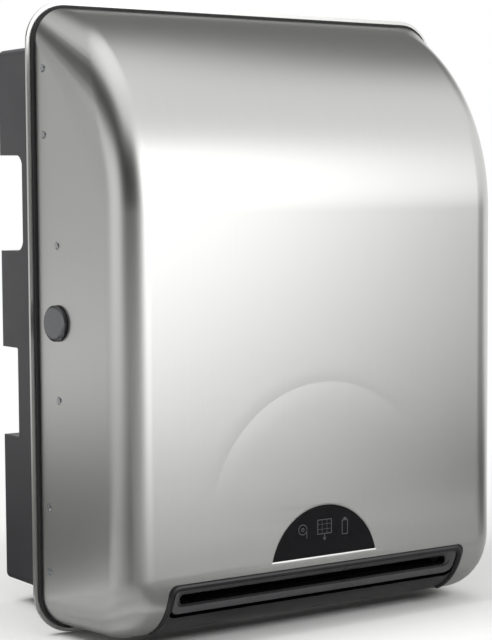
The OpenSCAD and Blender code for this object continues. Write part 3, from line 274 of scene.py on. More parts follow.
def brushed_stainless(name, tone, along_uv, rough):
    """Stainless sheet, brushed upright: fine parallel scratches that soften reflections, and faint wipe
    marks. The scratches are about 0.1 mm wide on the sheet, and are drawn at 0.8 mm so that they show."""

    def shade(tree):
        place, grain = None, (0.8, 0.8, 60)
        if along_uv:
            place, grain = add(tree, "ShaderNodeUVMap", uv_map="grain").outputs[0], (0.8, 90, 1)
        gloss = (rough - 0.01, rough + 0.01)
        looks = surface(tree, tone, (0.985, 1.005), gloss, grain, grain, 0.0006, place)
        return add(tree, "ShaderNodeBsdfPrincipled", {**looks, "Metallic": 1.0})

    return finish(name, shade)


def plated_metal(name, tone, rough, spot):
    """Plated or ground metal: small cloudy spots in the plating, and a little unevenness in its gloss."""

    def shade(tree):
        gloss = (rough - 0.06, rough + 0.08)
        looks = surface(tree, tone, (0.86, 1.05), gloss, [spot] * 3, [0.6] * 3, 0.002)
        return add(tree, "ShaderNodeBsdfPrincipled", {**looks, "Metallic": 1.0})

    return finish(name, shade)


def moulded_plastic(name, tone, rough, grain, depth):
    """Injection moulded plastic: the spark-eroded grain of the mould, with slight flow marks in its tone and
    gloss."""

    def shade(tree):
        gloss = (rough - 0.05, rough + 0.05)
        looks = surface(tree, tone, (0.88, 1.1), gloss, [45] * 3, [grain] * 3, depth)
        return add(tree, "ShaderNodeBsdfPrincipled", {**looks, "IOR": 1.52})

    return finish(name, shade)


def smoked_polycarbonate(name, tone):
    """Polished dark polycarbonate: deep and glossy, with the haze of fine wiping scratches."""

    def shade(tree):
        looks = surface(tree, tone, (0.8, 1.15), (0.08, 0.16), (3, 3, 14), (2, 2, 9), 0.0005)
        return add(tree, "ShaderNodeBsdfPrincipled", {**looks, "IOR": 1.58, "Specular IOR Level": 0.16})

    return finish(name, shade)


def moulded_rubber(name, tone, grain):
    """Vulcanised rubber: matt, with a dusty bloom and a fine ground surface."""

    def shade(tree):
        looks = surface(tree, tone, (0.85, 1.3), (0.68, 0.86), [18] * 3, [grain] * 3, 0.05)
        return add(tree, "ShaderNodeBsdfPrincipled", {**looks, "IOR": 1.5})

    return finish(name, shade)


def clear_resin(name, tone):
    """Diffused lamp resin: milky, with light scattered under a glossy skin."""

    def shade(tree):
        looks = surface(tree, tone, (0.92, 1.0), (0.18, 0.3), [1.5] * 3, [0.8] * 3, 0.002)
        milk = {"IOR": 1.54, "Subsurface Weight": 0.3, "Subsurface Radius": [1 * MM, 1 * MM, 0.8 * MM]}
        return add(tree, "ShaderNodeBsdfPrincipled", {**looks, **milk})

    return finish(name, shade)


def solder_mask(name, tone):
    """Circuit board: green lacquer over copper tracks on a 2.5 mm grid, which show lighter through it."""

    def shade(tree):
        place = add(tree, "ShaderNodeTexCoord").outputs["Object"]
        upright = {"Vector": place, "Rotation": (math.pi / 2, 0, 0), "Scale": [1 / (10 * MM)] * 3}
        tracks = add(
            tree,
            "ShaderNodeTexBrick",
            {
                "Vector": add(tree, "ShaderNodeMapping", upright).outputs[0],
                "Color1": rgba(tone, 0.9),
                "Color2": rgba(tone, 1.15),
                "Mortar": rgba(tone, 1.6),
                "Scale": 1.0,
                "Mortar Size": 0.03,
                "Brick Width": 0.9,
                "Row Height": 0.25,
            },
        )
        looks = surface(tree, tone, (1, 1), (0.3, 0.42), [4] * 3, [1.2] * 3, 0.01, place)
        return add(tree, "ShaderNodeBsdfPrincipled", {**looks, "Base Color": tracks.outputs[0], "IOR": 1.55})

    return finish(name, shade)


def cell_wrap(name, tone, band):
    """Shrunk plastic wrap of the cells: dark, with a copper band towards their outer ends, and faint shrink
    lines."""

    def shade(tree):
        place = add(tree, "ShaderNodeTexCoord").outputs["Object"]
        across = add(tree, "ShaderNodeSeparateXYZ", {0: place}).outputs[0]
        away = add(tree, "ShaderNodeMath", {0: across}, operation="ABSOLUTE").outputs[0]
        step = add(
            tree,
            "ShaderNodeMapRange",
            {"Value": away, "From Min": 44 * MM, "From Max": 44.4 * MM, "To Min": 0.0, "To Max": 1.0},
        )
        pair = {"Factor": step.outputs[0], "A": rgba(tone), "B": rgba(band)}
        tones = add(tree, "ShaderNodeMix", pair, data_type="RGBA").outputs["Result"]
        lines = (1.2, 20, 20)
        looks = surface(tree, tone, (1, 1), (0.22, 0.38), lines, lines, 0.01, place)
        return add(tree, "ShaderNodeBsdfPrincipled", {**looks, "Base Color": tones, "IOR": 1.5})

    return finish(name, shade)


def make_finishes(c):
    """The finish of each material slot of the record."""
    return {
        "stainless_cover": brushed_stainless("brushed stainless sheet", c.stainless, True, 0.286),
        "stainless_frame": brushed_stainless("brushed stainless frame", c.stainless, False, 0.32),
        "plated_steel": plated_metal("zinc plated steel", c.zinc, 0.34, 6),
        "rivet_steel": plated_metal("stainless rivets", c.zinc, 0.3, 1.5),
        "blade_steel": brushed_stainless("ground blade steel", c.stainless, False, 0.29),
        "lock_metal": plated_metal("satin zinc casting", c.lock, 0.34, 3),
        "black_plastic": moulded_plastic("grained ABS box", c.black, 0.46, 0.9, 0.03),
        # Trim tone darkened: painted shade on its lower band
        "charcoal_plastic": moulded_plastic("satin ABS trim, painted darker", c.charcoal, 0.3, 0.7, 0.01),
        "grey_plastic": moulded_plastic("grained ABS guides", c.grey, 0.45, 0.8, 0.03),
        "hub_plastic": moulded_plastic("polypropylene hubs", c.hub, 0.4, 1.0, 0.02),
        "gear_plastic": moulded_plastic("natural acetal", c.acetal, 0.34, 0.6, 0.01),
        "button_plastic": moulded_plastic("green ABS", c.green, 0.3, 0.6, 0.01),
        "smoked_window": smoked_polycarbonate("smoked polycarbonate", c.smoke),
        "led_resin": clear_resin("diffused epoxy lamps", c.resin),
        "circuit_board": solder_mask("green solder mask", c.mask),
        "cell_jacket": cell_wrap("cell wrap", c.jacket, c.copper),
        "bronze": plated_metal("sintered bronze", c.bronze, 0.42, 0.8),
        "gasket_rubber": moulded_rubber("EPDM gasket", c.rubber, 0.8),
        "roller_rubber": moulded_rubber("ground rubber rollers", c.rubber, 0.5),
    }


FINISHES = {}


def object_from(bm, name):
    """Turns a bmesh into an object of the scene."""
    mesh = bpy.data.meshes.new(name)
    bm.to_mesh(mesh)
    bm.free()
    made = bpy.data.objects.new(name, mesh)
    bpy.context.scene.collection.objects.link(made)
    return made


def dress(piece, material):
    piece.data.materials.clear()
    piece.data.materials.append(material)


def piece_from(bm, name, body, slot, *nodes):
    """Turns a bmesh into a finished piece on its body."""
    piece = object_from(bm, name)
    dress(piece, FINISHES[slot])
    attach(piece, body)
    if nodes:
        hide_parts(*nodes)
    return piece


def shade_round(piece, degrees=32):
    """Smooth faces with sharp edges past the angle, weighted so that flats stay flat."""
    piece.data.shade_smooth()
    piece.data.set_sharp_from_angle(angle=math.radians(degrees))
    even = piece.modifiers.new("flat faces first", "WEIGHTED_NORMAL")
    even.keep_sharp = True


def apply_modifiers(piece):
    graph = bpy.context.evaluated_depsgraph_get()
    made = bpy.data.meshes.new_from_object(piece.evaluated_get(graph), depsgraph=graph)
    piece.modifiers.clear()
    piece.data = made


def cut_with(piece, tools):
    """Cuts the piece with the bmeshes."""
    objects = []
    for i, bm in enumerate(tools):
        bmesh.ops.recalc_face_normals(bm, faces=bm.faces)
        tool = object_from(bm, f"tool_{i}")
        step = piece.modifiers.new(tool.name, "BOOLEAN")
        step.operation = "DIFFERENCE"
        step.solver = "EXACT"
        step.object = tool
        objects.append(tool)
    apply_modifiers(piece)
    for tool in objects:
        mesh = tool.data
        bpy.data.objects.remove(tool)
        bpy.data.meshes.remove(mesh)


def facing(point, normal):
    """Matrix that puts a shape drawn in XY at a point, with its +Z along the normal and its Y upright."""
    z = Vector(normal).normalized()
    up = Vector(UP) if abs(z.z) < 0.9 else Vector(BACK)
    x = up.cross(z).normalized()
    turn = Matrix((x, z.cross(x), z)).transposed().to_4x4()
    return Matrix.Translation(point) @ turn


def only(geom, kind):
    return [g for g in geom if isinstance(g, kind)]


def whole(bm):
    return bm.verts[:] + bm.edges[:] + bm.faces[:]


def round_off(bm, geom, radius, segments, affect="EDGES"):
    """Rounds edges, or the corners of a flat face."""
    bmesh.ops.bevel(
        bm,
        geom=geom,
        offset=radius,
        segments=segments,
        profile=0.5,
        affect=affect,
        material=-1,
        offset_type="OFFSET",
    )


def thicken(bm, faces, vector):
    """Extrudes the faces along the vector into a closed solid."""
    made = bmesh.ops.extrude_face_region(bm, geom=faces, use_keep_orig=True)
    bmesh.ops.translate(bm, verts=only(made["geom"], BMVert), vec=vector)
    bmesh.ops.recalc_face_normals(bm, faces=bm.faces)


def add_to(bm, one):
    """Adds a finished bmesh to another."""
    bmesh.ops.recalc_face_normals(one, faces=one.faces)
    mesh = bpy.data.meshes.new("part")
    one.to_mesh(mesh)
    one.free()
    bm.from_mesh(mesh)
    bpy.data.meshes.remove(mesh)


def flat_disc(bm, point, normal, radius, segments):
    """A flat disc that faces along the normal, as a list of its one face."""
    place = facing(point, normal)
    made = bmesh.ops.create_circle(bm, cap_ends=True, segments=segments, radius=radius, matrix=place)
    return made["verts"][0].link_faces[:]


def flat_plate(bm, x, z, w, h, y):
    """A flat rectangle that faces forward, as a list of its one face."""
    place = facing((x, y, z), FRONT) @ Matrix.Diagonal((w / 2, h / 2, 1, 1))
    made = bmesh.ops.create_grid(bm, x_segments=1, y_segments=1, size=1, matrix=place)
    return made["verts"][0].link_faces[:]


def line_round(bm, faces, line):
    """Leaves only a line round the faces."""
    bmesh.ops.inset_region(bm, faces=faces, thickness=line, use_boundary=True, use_even_offset=True)
    bmesh.ops.delete(bm, geom=faces, context="FACES")


def box_tool(low, high):
    bm = bmesh.new()
    low, high = Vector(low), Vector(high)
    place = Matrix.Translation((low + high) / 2) @ Matrix.Diagonal((*(high - low), 1))
    bmesh.ops.create_cube(bm, size=1, matrix=place)
    return bm


def rod_tool(point, axis, radius, depth):
    bm = bmesh.new()
    place = facing(point, axis)
    bmesh.ops.create_cone(
        bm, cap_ends=True, segments=64, radius1=radius, radius2=radius, depth=depth, matrix=place
    )
    return bm


def cover_lines(s):
    """Centres and angles of the pressed form, by the same rules as the solids."""
    edge_x = s.cover_half - s.draft - s.edge_r
    edge_y = s.edge_r - s.cover_reach
    dx, dy = s.cover_half - edge_x, -s.cover_gap - edge_y
    lean = math.atan(dx / dy) - math.asin(s.edge_r / math.hypot(dx, dy))
    crown_y = s.crown_r - s.cover_reach
    crown_end = math.acos((crown_y + s.cover_gap) / s.crown_r)
    crown_z = s.cover_top - s.crown_r * math.sin(crown_end)
    foot_y, foot_z = s.foot_r - s.cover_reach, s.foot_r - s.cover_top
    return edge_x, edge_y, lean, crown_y, crown_end, crown_z, foot_y, foot_z


def cover_bulk(s):
    """The pressed form: one point spun to the edge radius, that arc spun over the crown and foot, and the
    skin round it all."""
    edge_x, edge_y, lean, crown_y, crown_end, crown_z, foot_y, foot_z = cover_lines(s)
    quarter = math.pi / 2
    bm = bmesh.new()
    start = bm.verts.new((edge_x + s.edge_r * math.cos(lean), edge_y - s.edge_r * math.sin(lean), crown_z))
    bmesh.ops.spin(bm, geom=[start], cent=(edge_x, edge_y, 0), axis=UP, angle=lean - quarter, steps=16)
    high = bm.verts[:] + bm.edges[:]
    low = bmesh.ops.duplicate(bm, geom=high)["geom"]
    bmesh.ops.translate(bm, verts=only(low, BMVert), vec=(0, 0, foot_z - crown_z))
    bmesh.ops.spin(bm, geom=high, cent=(0, crown_y, crown_z), axis=RIGHT, angle=-crown_end, steps=44)
    bmesh.ops.spin(bm, geom=low, cent=(0, foot_y, foot_z), axis=RIGHT, angle=quarter, steps=24)
    behind = [v for v in bm.verts if v.co.y > SAME_POINT - s.cover_gap]
    bmesh.ops.delete(bm, geom=behind, context="VERTS")
    for side in (1, -1):
        z = side * (s.cover_top - s.rim_r)
        corner = bm.verts.new((s.cover_half, -s.cover_gap, z))
        middle = (s.cover_half - s.rim_r, 0, z)
        bmesh.ops.spin(bm, geom=[corner], cent=middle, axis=BACK, angle=-side * quarter, steps=16)
    bmesh.ops.mirror(bm, geom=whole(bm), axis="X", merge_dist=1e-7)
    bmesh.ops.delete(bm, geom=bm.edges[:] + bm.faces[:], context="EDGES_FACES")
    bmesh.ops.remove_doubles(bm, verts=bm.verts[:], dist=SAME_POINT)
    hull = bmesh.ops.convex_hull(bm, input=bm.verts[:])
    spare = set(only(hull["geom_interior"] + hull["geom_unused"], BMVert))
    bmesh.ops.delete(bm, geom=list(spare), context="VERTS")
    bmesh.ops.dissolve_limit(bm, angle_limit=math.radians(0.05), verts=bm.verts[:], edges=bm.edges[:])
    bmesh.ops.recalc_face_normals(bm, faces=bm.faces)
    return bm


def press_disc(bm, s):
    """Presses the half disc into the flat front: two soft shoulders that meet in a crease, which is deepest
    at the top and fades out towards both ends."""
    middle = s.disc_up - s.cover_top
    fade_low, fade_high = middle + 10 * MM, middle + 0.75 * s.disc_r
    disc = bmesh.new()
    spots = []
    for across in (-s.disc_in, 0, s.disc_out):
        spots.append(disc.verts.new((s.disc_r + across, -s.cover_reach, middle)))
    shoulders = [disc.edges.new(pair) for pair in zip(spots, spots[1:])]
    bmesh.ops.subdivide_edges(disc, edges=shoulders, cuts=4)
    arm = disc.verts[:] + disc.edges[:]
    bmesh.ops.spin(disc, geom=arm, cent=(0, 0, middle), axis=BACK, angle=-math.pi, steps=96)
    for v in disc.verts:
        away = math.hypot(v.co.x, v.co.z - middle) - s.disc_r
        near = max(0, 1 - abs(away) / (s.disc_out if away > 0 else s.disc_in))
        fade = min(1, max(0, (v.co.z - fade_low) / (fade_high - fade_low)))
        v.co.y += s.disc_h * near**2 * fade
    front = max((f for f in bm.faces if f.normal.y < -0.99), key=lambda f: f.calc_area())
    bmesh.ops.delete(bm, geom=[front], context="FACES_ONLY")
    add_to(bm, disc)
    gap = [e for e in bm.edges if e.is_boundary]
    bmesh.ops.triangle_fill(bm, use_beauty=True, use_dissolve=False, edges=gap, normal=FRONT)
    bmesh.ops.recalc_face_normals(bm, faces=bm.faces)


def mark_disc(piece, s):
    """Keeps the low crease of the half disc crisp, which lies under the angle of the other sharp edges."""
    middle = s.disc_up - s.cover_top
    bm = bmesh.new()
    bm.from_mesh(piece.data)
    for e in bm.edges:
        on_front = all(v.co.y < s.sheet_t / 2 - s.cover_reach for v in e.verts)
        on_crease = all(abs(math.hypot(v.co.x, v.co.z - middle) - s.disc_r) < 0.1 * MM for v in e.verts)
        if on_front and on_crease:
            e.smooth = False
    bm.to_mesh(piece.data)
    bm.free()


def window_face(bm, s, inset, y):
    """Half-round outline of the window as one face."""
    base = s.window_base - s.cover_top
    flat_disc(bm, (0, y, base + s.window_h - s.window_r), FRONT, s.window_r - inset, 128)
    bmesh.ops.bisect_plane(
        bm, geom=whole(bm), plane_co=(0, 0, base + inset), plane_no=(0, 0, -1), clear_outer=True
    )


def window_tool(s):
    ahead = 5 * MM
    bm = bmesh.new()
    window_face(bm, s, 0, -s.cover_reach - ahead)
    thicken(bm, bm.faces[:], (0, 2 * ahead, 0))
    return bm


def window_edge_tool(s):
    """Chamfer round the window: the skin round its outline and a wider one in front."""
    slope = 0.45
    bm = bmesh.new()
    for wider in (0, 6 * s.window_edge):
        one = bmesh.new()
        window_face(one, s, -wider, -s.cover_reach - slope * (wider - s.window_edge))
        add_to(bm, one)
    bmesh.ops.delete(bm, geom=bm.edges[:] + bm.faces[:], context="EDGES_FACES")
    bmesh.ops.convex_hull(bm, input=bm.verts[:])
    return bm


def trim_tool(s):
    """Opening for the chute trim, with round upper corners."""
    top, half = s.trim_h - s.cover_top, s.trim_w / 2
    bm = box_tool((-half, -s.cover_reach - 10 * MM, top - 80 * MM), (half, -s.trim_back, top))
    edges = []
    for e in bm.edges:
        a, b = (v.co for v in e.verts)
        if min(a.z, b.z) > top - 1 * MM and abs(a.x - b.x) < SAME_POINT:
            edges.append(e)
    round_off(bm, edges, s.trim_r, 10)
    return bm


def hinge_notches(across, deep, upright):
    """Tools that clear the two hinges: across from the pins and upright from the middle of a hinge, in mm,
    and deep from front to back in the frame."""
    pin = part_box("hinge_pins")[0].x
    low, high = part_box("hinge_leaves")
    tools = []
    for middle in (low.z + HINGE_HALF, high.z - HINGE_HALF):
        corners = zip([pin + x * MM for x in across], deep, [middle + z * MM for z in upright])
        tools.append(box_tool(*corners))
    return tools


def write_grain(piece, s):
    """UV map in metres: across the brushing, and along it over the crown and the foot."""
    _, _, _, crown_y, _, crown_z, foot_y, foot_z = cover_lines(s)
    mesh = piece.data
    layer = mesh.uv_layers.new(name="grain")
    for face in mesh.polygons:
        side = abs(face.normal.x) > 0.7
        for i in face.loop_indices:
            p = mesh.vertices[mesh.loops[i].vertex_index].co
            run = p.z
            if p.z > crown_z and not side:
                run = crown_z + s.crown_r * math.atan2(p.z - crown_z, crown_y - p.y)
            elif p.z < foot_z and not side:
                run = foot_z - s.foot_r * math.atan2(foot_z - p.z, foot_y - p.y)
            layer.data[i].uv = (p.y + 1.0 if side else p.x, run)


class DISPENSER_OT_cover(bpy.types.Operator):
    """Builds the pressed steel cover, with its folded edge and openings"""

    bl_idname = "dispenser.cover"
    bl_label = "Cover"

    def execute(self, context):
        s = context.scene.dispenser_sizes
        bm = cover_bulk(s)
        press_disc(bm, s)
        back = max((f for f in bm.faces if f.normal.y > 0.99), key=lambda f: f.calc_area())
        bmesh.ops.inset_region(bm, faces=[back], thickness=s.fold_w, use_even_offset=True)
        bmesh.ops.delete(bm, geom=[back], context="FACES")
        piece = piece_from(bm, "cover_skin", "cover", "stainless_cover", "cover_shell")
        sheet = piece.modifiers.new("sheet", "SOLIDIFY")
        sheet.thickness = s.sheet_t
        sheet.offset = -1
        sheet.use_even_offset = True
        apply_modifiers(piece)
        lock_low, lock_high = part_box("lock_button")
        lean = cover_lines(s)[2]
        axis = Vector((math.cos(lean), math.sin(lean), 0))
        lock = Vector(((lock_low.x + lock_high.x) / 2, (lock_low.y + lock_high.y) / 2, 0))
        tools = [window_tool(s), window_edge_tool(s), trim_tool(s), rod_tool(lock, axis, s.lock_r, 60 * MM)]
        pin_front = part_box("hinge_pins")[0].y
        tools += hinge_notches((-7, 9), (pin_front - 3.5 * MM, 5 * MM), (-21.3, 22.9))
        cut_with(piece, tools)
        dress(piece, FINISHES["stainless_cover"])
        write_grain(piece, s)
        shade_round(piece)
        mark_disc(piece, s)
        return {"FINISHED"}


class DISPENSER_OT_gasket(bpy.types.Operator):
    """Lays the rubber bead on the frame, open at the hinges"""

    bl_idname = "dispenser.gasket"
    bl_label = "Gasket"

    def execute(self, context):
        s = context.scene.dispenser_sizes
        low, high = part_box("wall_frame")
        seat, front = low.y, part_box("frame_gasket")[0].y
        corner = s.rim_r + 2.1 * MM
        bm = bmesh.new()
        face = flat_plate(bm, 0, 0, 2 * (high.x - s.gasket_in), 2 * (high.z - s.gasket_in), seat)
        round_off(bm, face[0].verts[:], corner, 14, "VERTICES")
        line_round(bm, bm.faces[:], s.gasket_w)
        thicken(bm, bm.faces[:], (0, front - seat, 0))
        ahead = [e for e in bm.edges if all(v.co.y < front + FRONT_EDGE for v in e.verts)]
        round_off(bm, [e for e in ahead if e.calc_face_angle() > 1], s.gasket_r, 4)
        bmesh.ops.recalc_face_normals(bm, faces=bm.faces)
        piece = piece_from(bm, "gasket_bead", "base", "gasket_rubber", "frame_gasket")
        cut_with(piece, hinge_notches((-9, 14), (front - MM, seat + MM), (-22, 23.4)))
        dress(piece, FINISHES["gasket_rubber"])
        shade_round(piece)
        return {"FINISHED"}


def trim_bead(s):
    """Bead along the top and down both ends of the chute trim: a ring drawn out, turned and mirrored."""
    foot_y, foot_z = cover_lines(s)[-2:]
    reach = s.foot_r - s.bead_sink
    drop = math.asin((foot_z - s.trim_h + s.cover_top + s.bead_r) / reach)
    start = Vector((0, foot_y - reach * math.cos(drop), foot_z - reach * math.sin(drop)))
    bend = Vector((s.trim_w / 2 - s.bead_r - s.trim_r, start.y, start.z))
    out = Vector((0, -math.cos(drop), -math.sin(drop)))
    down = Vector((0, math.sin(drop), -math.cos(drop)))
    bm = bmesh.new()
    bmesh.ops.create_circle(bm, segments=20, radius=s.bead_r, matrix=facing(start, RIGHT))
    end = bmesh.ops.extrude_edge_only(bm, edges=bm.edges[:])["geom"]
    bmesh.ops.translate(bm, verts=only(end, BMVert), vec=(bend.x, 0, 0))
    for centre, axis, angle, steps in (
        (bend + s.trim_r * down, out, -math.pi / 2, 10),
        (Vector((0, foot_y, foot_z)), Vector(RIGHT), math.radians(48), 20),
    ):
        edges = only(end, BMEdge)
        end = bmesh.ops.spin(bm, geom=edges, cent=centre, axis=axis, angle=angle, steps=steps)["geom_last"]
    bmesh.ops.mirror(bm, geom=whole(bm), axis="X", merge_dist=SAME_POINT)
    bmesh.ops.holes_fill(bm, edges=[e for e in bm.edges if e.is_boundary], sides=0)
    bmesh.ops.recalc_face_normals(bm, faces=bm.faces)
    return bm


def mouth_ring(s):
    """Moulded mouth round the paper slot: a rolled ring, drawn flat and then wrapped round the foot."""
    foot_y, foot_z = cover_lines(s)[-2:]
    bm = bmesh.new()
    for half, top, bottom, corner, level in (
        (s.mouth_half, s.mouth_top, s.mouth_bottom, s.trim_r, 0),
        (s.mouth_half - s.mouth_end, s.slot_top, s.slot_bottom, s.trim_r / 2, -1),
    ):
        size = Matrix.Diagonal((half, (bottom - top) / 2, 1, 1))
        place = Matrix.Translation((0, (top + bottom) / 2, level)) @ size
        made = bmesh.ops.create_grid(bm, x_segments=1, y_segments=1, size=1, matrix=place)
        round_off(bm, made["verts"], corner, 8, "VERTICES")
    bmesh.ops.delete(bm, geom=bm.faces[:], context="FACES_ONLY")
    made = bmesh.ops.bridge_loops(bm, edges=bm.edges[:])
    bmesh.ops.subdivide_edges(bm, edges=made["edges"], cuts=4, use_grid_fill=True)
    for v in bm.verts:
        inward = -v.co.z
        down = (v.co.y - s.mouth_top) / (s.mouth_bottom - s.mouth_top)
        v.co.z = -s.mouth_sink - s.mouth_deep * (1 - down) * inward**2
    thicken(bm, bm.faces[:], (0, 0, -s.mouth_t))
    for v in bm.verts:
        turn, reach = v.co.y / s.foot_r, s.foot_r + v.co.z
        v.co = (v.co.x, foot_y - reach * math.cos(turn), foot_z - reach * math.sin(turn))
    bmesh.ops.recalc_face_normals(bm, faces=bm.faces)
    return bm


class DISPENSER_OT_trim(bpy.types.Operator):
    """Runs the moulded bead round the chute trim, and sets the mouth round its paper slot"""

    bl_idname = "dispenser.trim"
    bl_label = "Trim bead and mouth"

    def execute(self, context):
        s = context.scene.dispenser_sizes
        shade_round(piece_from(trim_bead(s), "trim_bead", "cover", "charcoal_plastic"))
        mouth = piece_from(mouth_ring(s), "trim_mouth", "cover", "charcoal_plastic")
        # Lighter copy of the trim plastic: painted light from above on the mouth
        tone = context.scene.dispenser_colours.mouth
        dress(mouth, moulded_plastic("satin ABS mouth, painted lighter", tone, 0.3, 0.7, 0.01))
        shade_round(mouth, 50)
        return {"FINISHED"}


class DISPENSER_OT_lock(bpy.types.Operator):
    """Rounds the outer edge of the lock button"""

    bl_idname = "dispenser.lock"
    bl_label = "Lock button"

    def execute(self, context):
        s = context.scene.dispenser_sizes
        lean = cover_lines(s)[2]
        out = Vector((-math.cos(lean), -math.sin(lean), 0))
        bm = bmesh.new()
        bm.from_mesh(frame["nodes"]["lock_button"].data)
        bmesh.ops.remove_doubles(bm, verts=bm.verts[:], dist=SAME_POINT)
        bmesh.ops.dissolve_limit(bm, angle_limit=math.radians(1), verts=bm.verts[:], edges=bm.edges[:])
        front = max(v.co.dot(out) for v in bm.verts) - FRONT_EDGE
        ahead = [e for e in bm.edges if all(v.co.dot(out) > front for v in e.verts)]
        round_off(bm, [e for e in ahead if e.calc_face_angle() > 0.5], s.lock_edge, 4)
        bmesh.ops.recalc_face_normals(bm, faces=bm.faces)
        shade_round(piece_from(bm, "lock_cap", "lock", "lock_metal", "lock_button"))
        return {"FINISHED"}


class DISPENSER_OT_window(bpy.types.Operator):
    """Prints the three plain signs in the window: a roll, a sheet and a cell"""

    bl_idname = "dispenser.window"
    bl_label = "Window signs"

    def execute(self, context):
        s = context.scene.dispenser_sizes
        line = s.line_w
        y = LENS_LOW.y - 0.06 * MM
        z = s.window_base - s.cover_top + 17.5 * MM
        bm = bmesh.new()
        for radius, segments in ((3.6 * MM, 40), (1.3 * MM, 24)):
            roll = flat_disc(bm, (-18 * MM, y, z + 1.5 * MM), FRONT, radius, segments)
            line_round(bm, roll, line)
        flat_plate(bm, -14.7 * MM, z - 1.5 * MM, line, 6 * MM, y)
        line_round(bm, flat_plate(bm, 0, z + 2 * MM, 12 * MM, 10 * MM, y), line)
        for x in (-2, 2):
            flat_plate(bm, x * MM, z + 2 * MM, line / 2, 9 * MM, y)
        for h in (0.3, 3.7):
            flat_plate(bm, 0, z + h * MM, 11 * MM, line / 2, y - 0.01 * MM)
        flat_plate(bm, 0, z - 4.4 * MM, line, 2.6 * MM, y)
        middle = (0, y, z - 6 * MM)
        arrow = flat_disc(bm, middle, FRONT, 1.6 * MM, 3)[0].verts[:]
        bmesh.ops.rotate(bm, verts=arrow, cent=middle, matrix=Matrix.Rotation(math.pi, 3, "Y"))
        line_round(bm, flat_plate(bm, 17 * MM, z, 5 * MM, 10 * MM, y), line)
        flat_plate(bm, 17 * MM, z + 5.8 * MM, 2.4 * MM, 1.4 * MM, y)
        thicken(bm, bm.faces[:], (0, 0.05 * MM, 0))
        piece = piece_from(bm, "window_signs", "cover", "smoked_window")
        tone = context.scene.dispenser_colours.mark
        dress(piece, moulded_plastic("screen printed ink", tone, 0.4, 0.5, 0.004))
        return {"FINISHED"}


def screw(point, axis, radius):
    """Pan head with a round socket, on a surface."""
    n = Vector(axis)
    height = radius * 0.62
    bm = bmesh.new()
    base = flat_disc(bm, point, axis, radius, 20)
    up = bmesh.ops.extrude_face_region(bm, geom=base)["geom"]
    bmesh.ops.translate(bm, verts=only(up, BMVert), vec=n * height)
    round_off(bm, [e for f in only(up, BMFace) for e in f.edges], radius * 0.3, 3)
    ends = [f for f in bm.faces if abs(f.normal.dot(n)) > 0.99]
    top = max(ends, key=lambda f: f.calc_center_median().dot(n))
    bmesh.ops.inset_region(bm, faces=[top], thickness=radius * 0.28)
    socket = bmesh.ops.extrude_face_region(bm, geom=[top])["geom"]
    bmesh.ops.translate(bm, verts=only(socket, BMVert), vec=-n * height * 0.5)
    bmesh.ops.delete(bm, geom=[top], context="FACES_ONLY")
    return bm


class DISPENSER_OT_screws(bpy.types.Operator):
    """Sets the small screws that hold the side plates and the boards"""

    bl_idname = "dispenser.screws"
    bl_label = "Screws"

    def execute(self, context):
        s = context.scene.dispenser_sizes
        spots = []
        foot_top = PLATE_LOW.z + 3 * MM
        for side in (-1, 1):
            for y in (10 * MM, 30 * MM):
                spots.append(((side * (PLATE_LOW.x + 6 * MM), y, foot_top), UP))
        for low, high, face in (
            (BOARD_LOW, BOARD_HIGH, BOARD_HIGH.y - BOARD_T),
            (PANEL_LOW, PANEL_HIGH, PANEL_LOW.y),
        ):
            for x in (low.x + SCREW_INSET, high.x - SCREW_INSET):
                for z in (low.z + SCREW_INSET, high.z - SCREW_INSET):
                    spots.append(((x, face, z), FRONT))
        bm = bmesh.new()
        for point, axis in spots:
            add_to(bm, screw(point, axis, s.screw_r))
        shade_round(piece_from(bm, "small_screws", "base", "plated_steel"))
        return {"FINISHED"}


class DISPENSER_OT_spring(bpy.types.Operator):
    """Winds the spring that pushes the right roll hub inwards"""

    bl_idname = "dispenser.spring"
    bl_label = "Hub spring"

    def execute(self, context):
        s = context.scene.dispenser_sizes
        low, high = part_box("hub_axle_right")
        middle = (low + high) / 2
        start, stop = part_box("roll_hub_right")[1].x + 3.2 * MM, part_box("hub_plunger")[1].x + 8.4 * MM
        turns, around = 4, 28
        pitch = (stop - start - 2 * s.wire_r) / turns
        place = facing((start + s.wire_r, middle.y + s.spring_r, middle.z), UP)
        bm = bmesh.new()
        bmesh.ops.create_circle(bm, segments=10, radius=s.wire_r, matrix=place)
        bmesh.ops.spin(
            bm,
            geom=bm.verts[:] + bm.edges[:],
            cent=middle,
            axis=RIGHT,
            dvec=(pitch / around, 0, 0),
            angle=2 * math.pi * turns,
            steps=turns * around,
        )
        bmesh.ops.holes_fill(bm, edges=[e for e in bm.edges if e.is_boundary], sides=0)
        bmesh.ops.recalc_face_normals(bm, faces=bm.faces)
        piece = piece_from(bm, "hub_spring", "base", "plated_steel")
        shade_round(piece, 50)
        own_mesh(piece)
        return {"FINISHED"}


def block(bm, low, size, edge):
    """Adds a moulded block with rounded edges, with its size and edge in mm."""
    one = box_tool(low, [a + b * MM for a, b in zip(low, size)])
    round_off(one, one.edges[:], edge * MM, 2)
    add_to(bm, one)


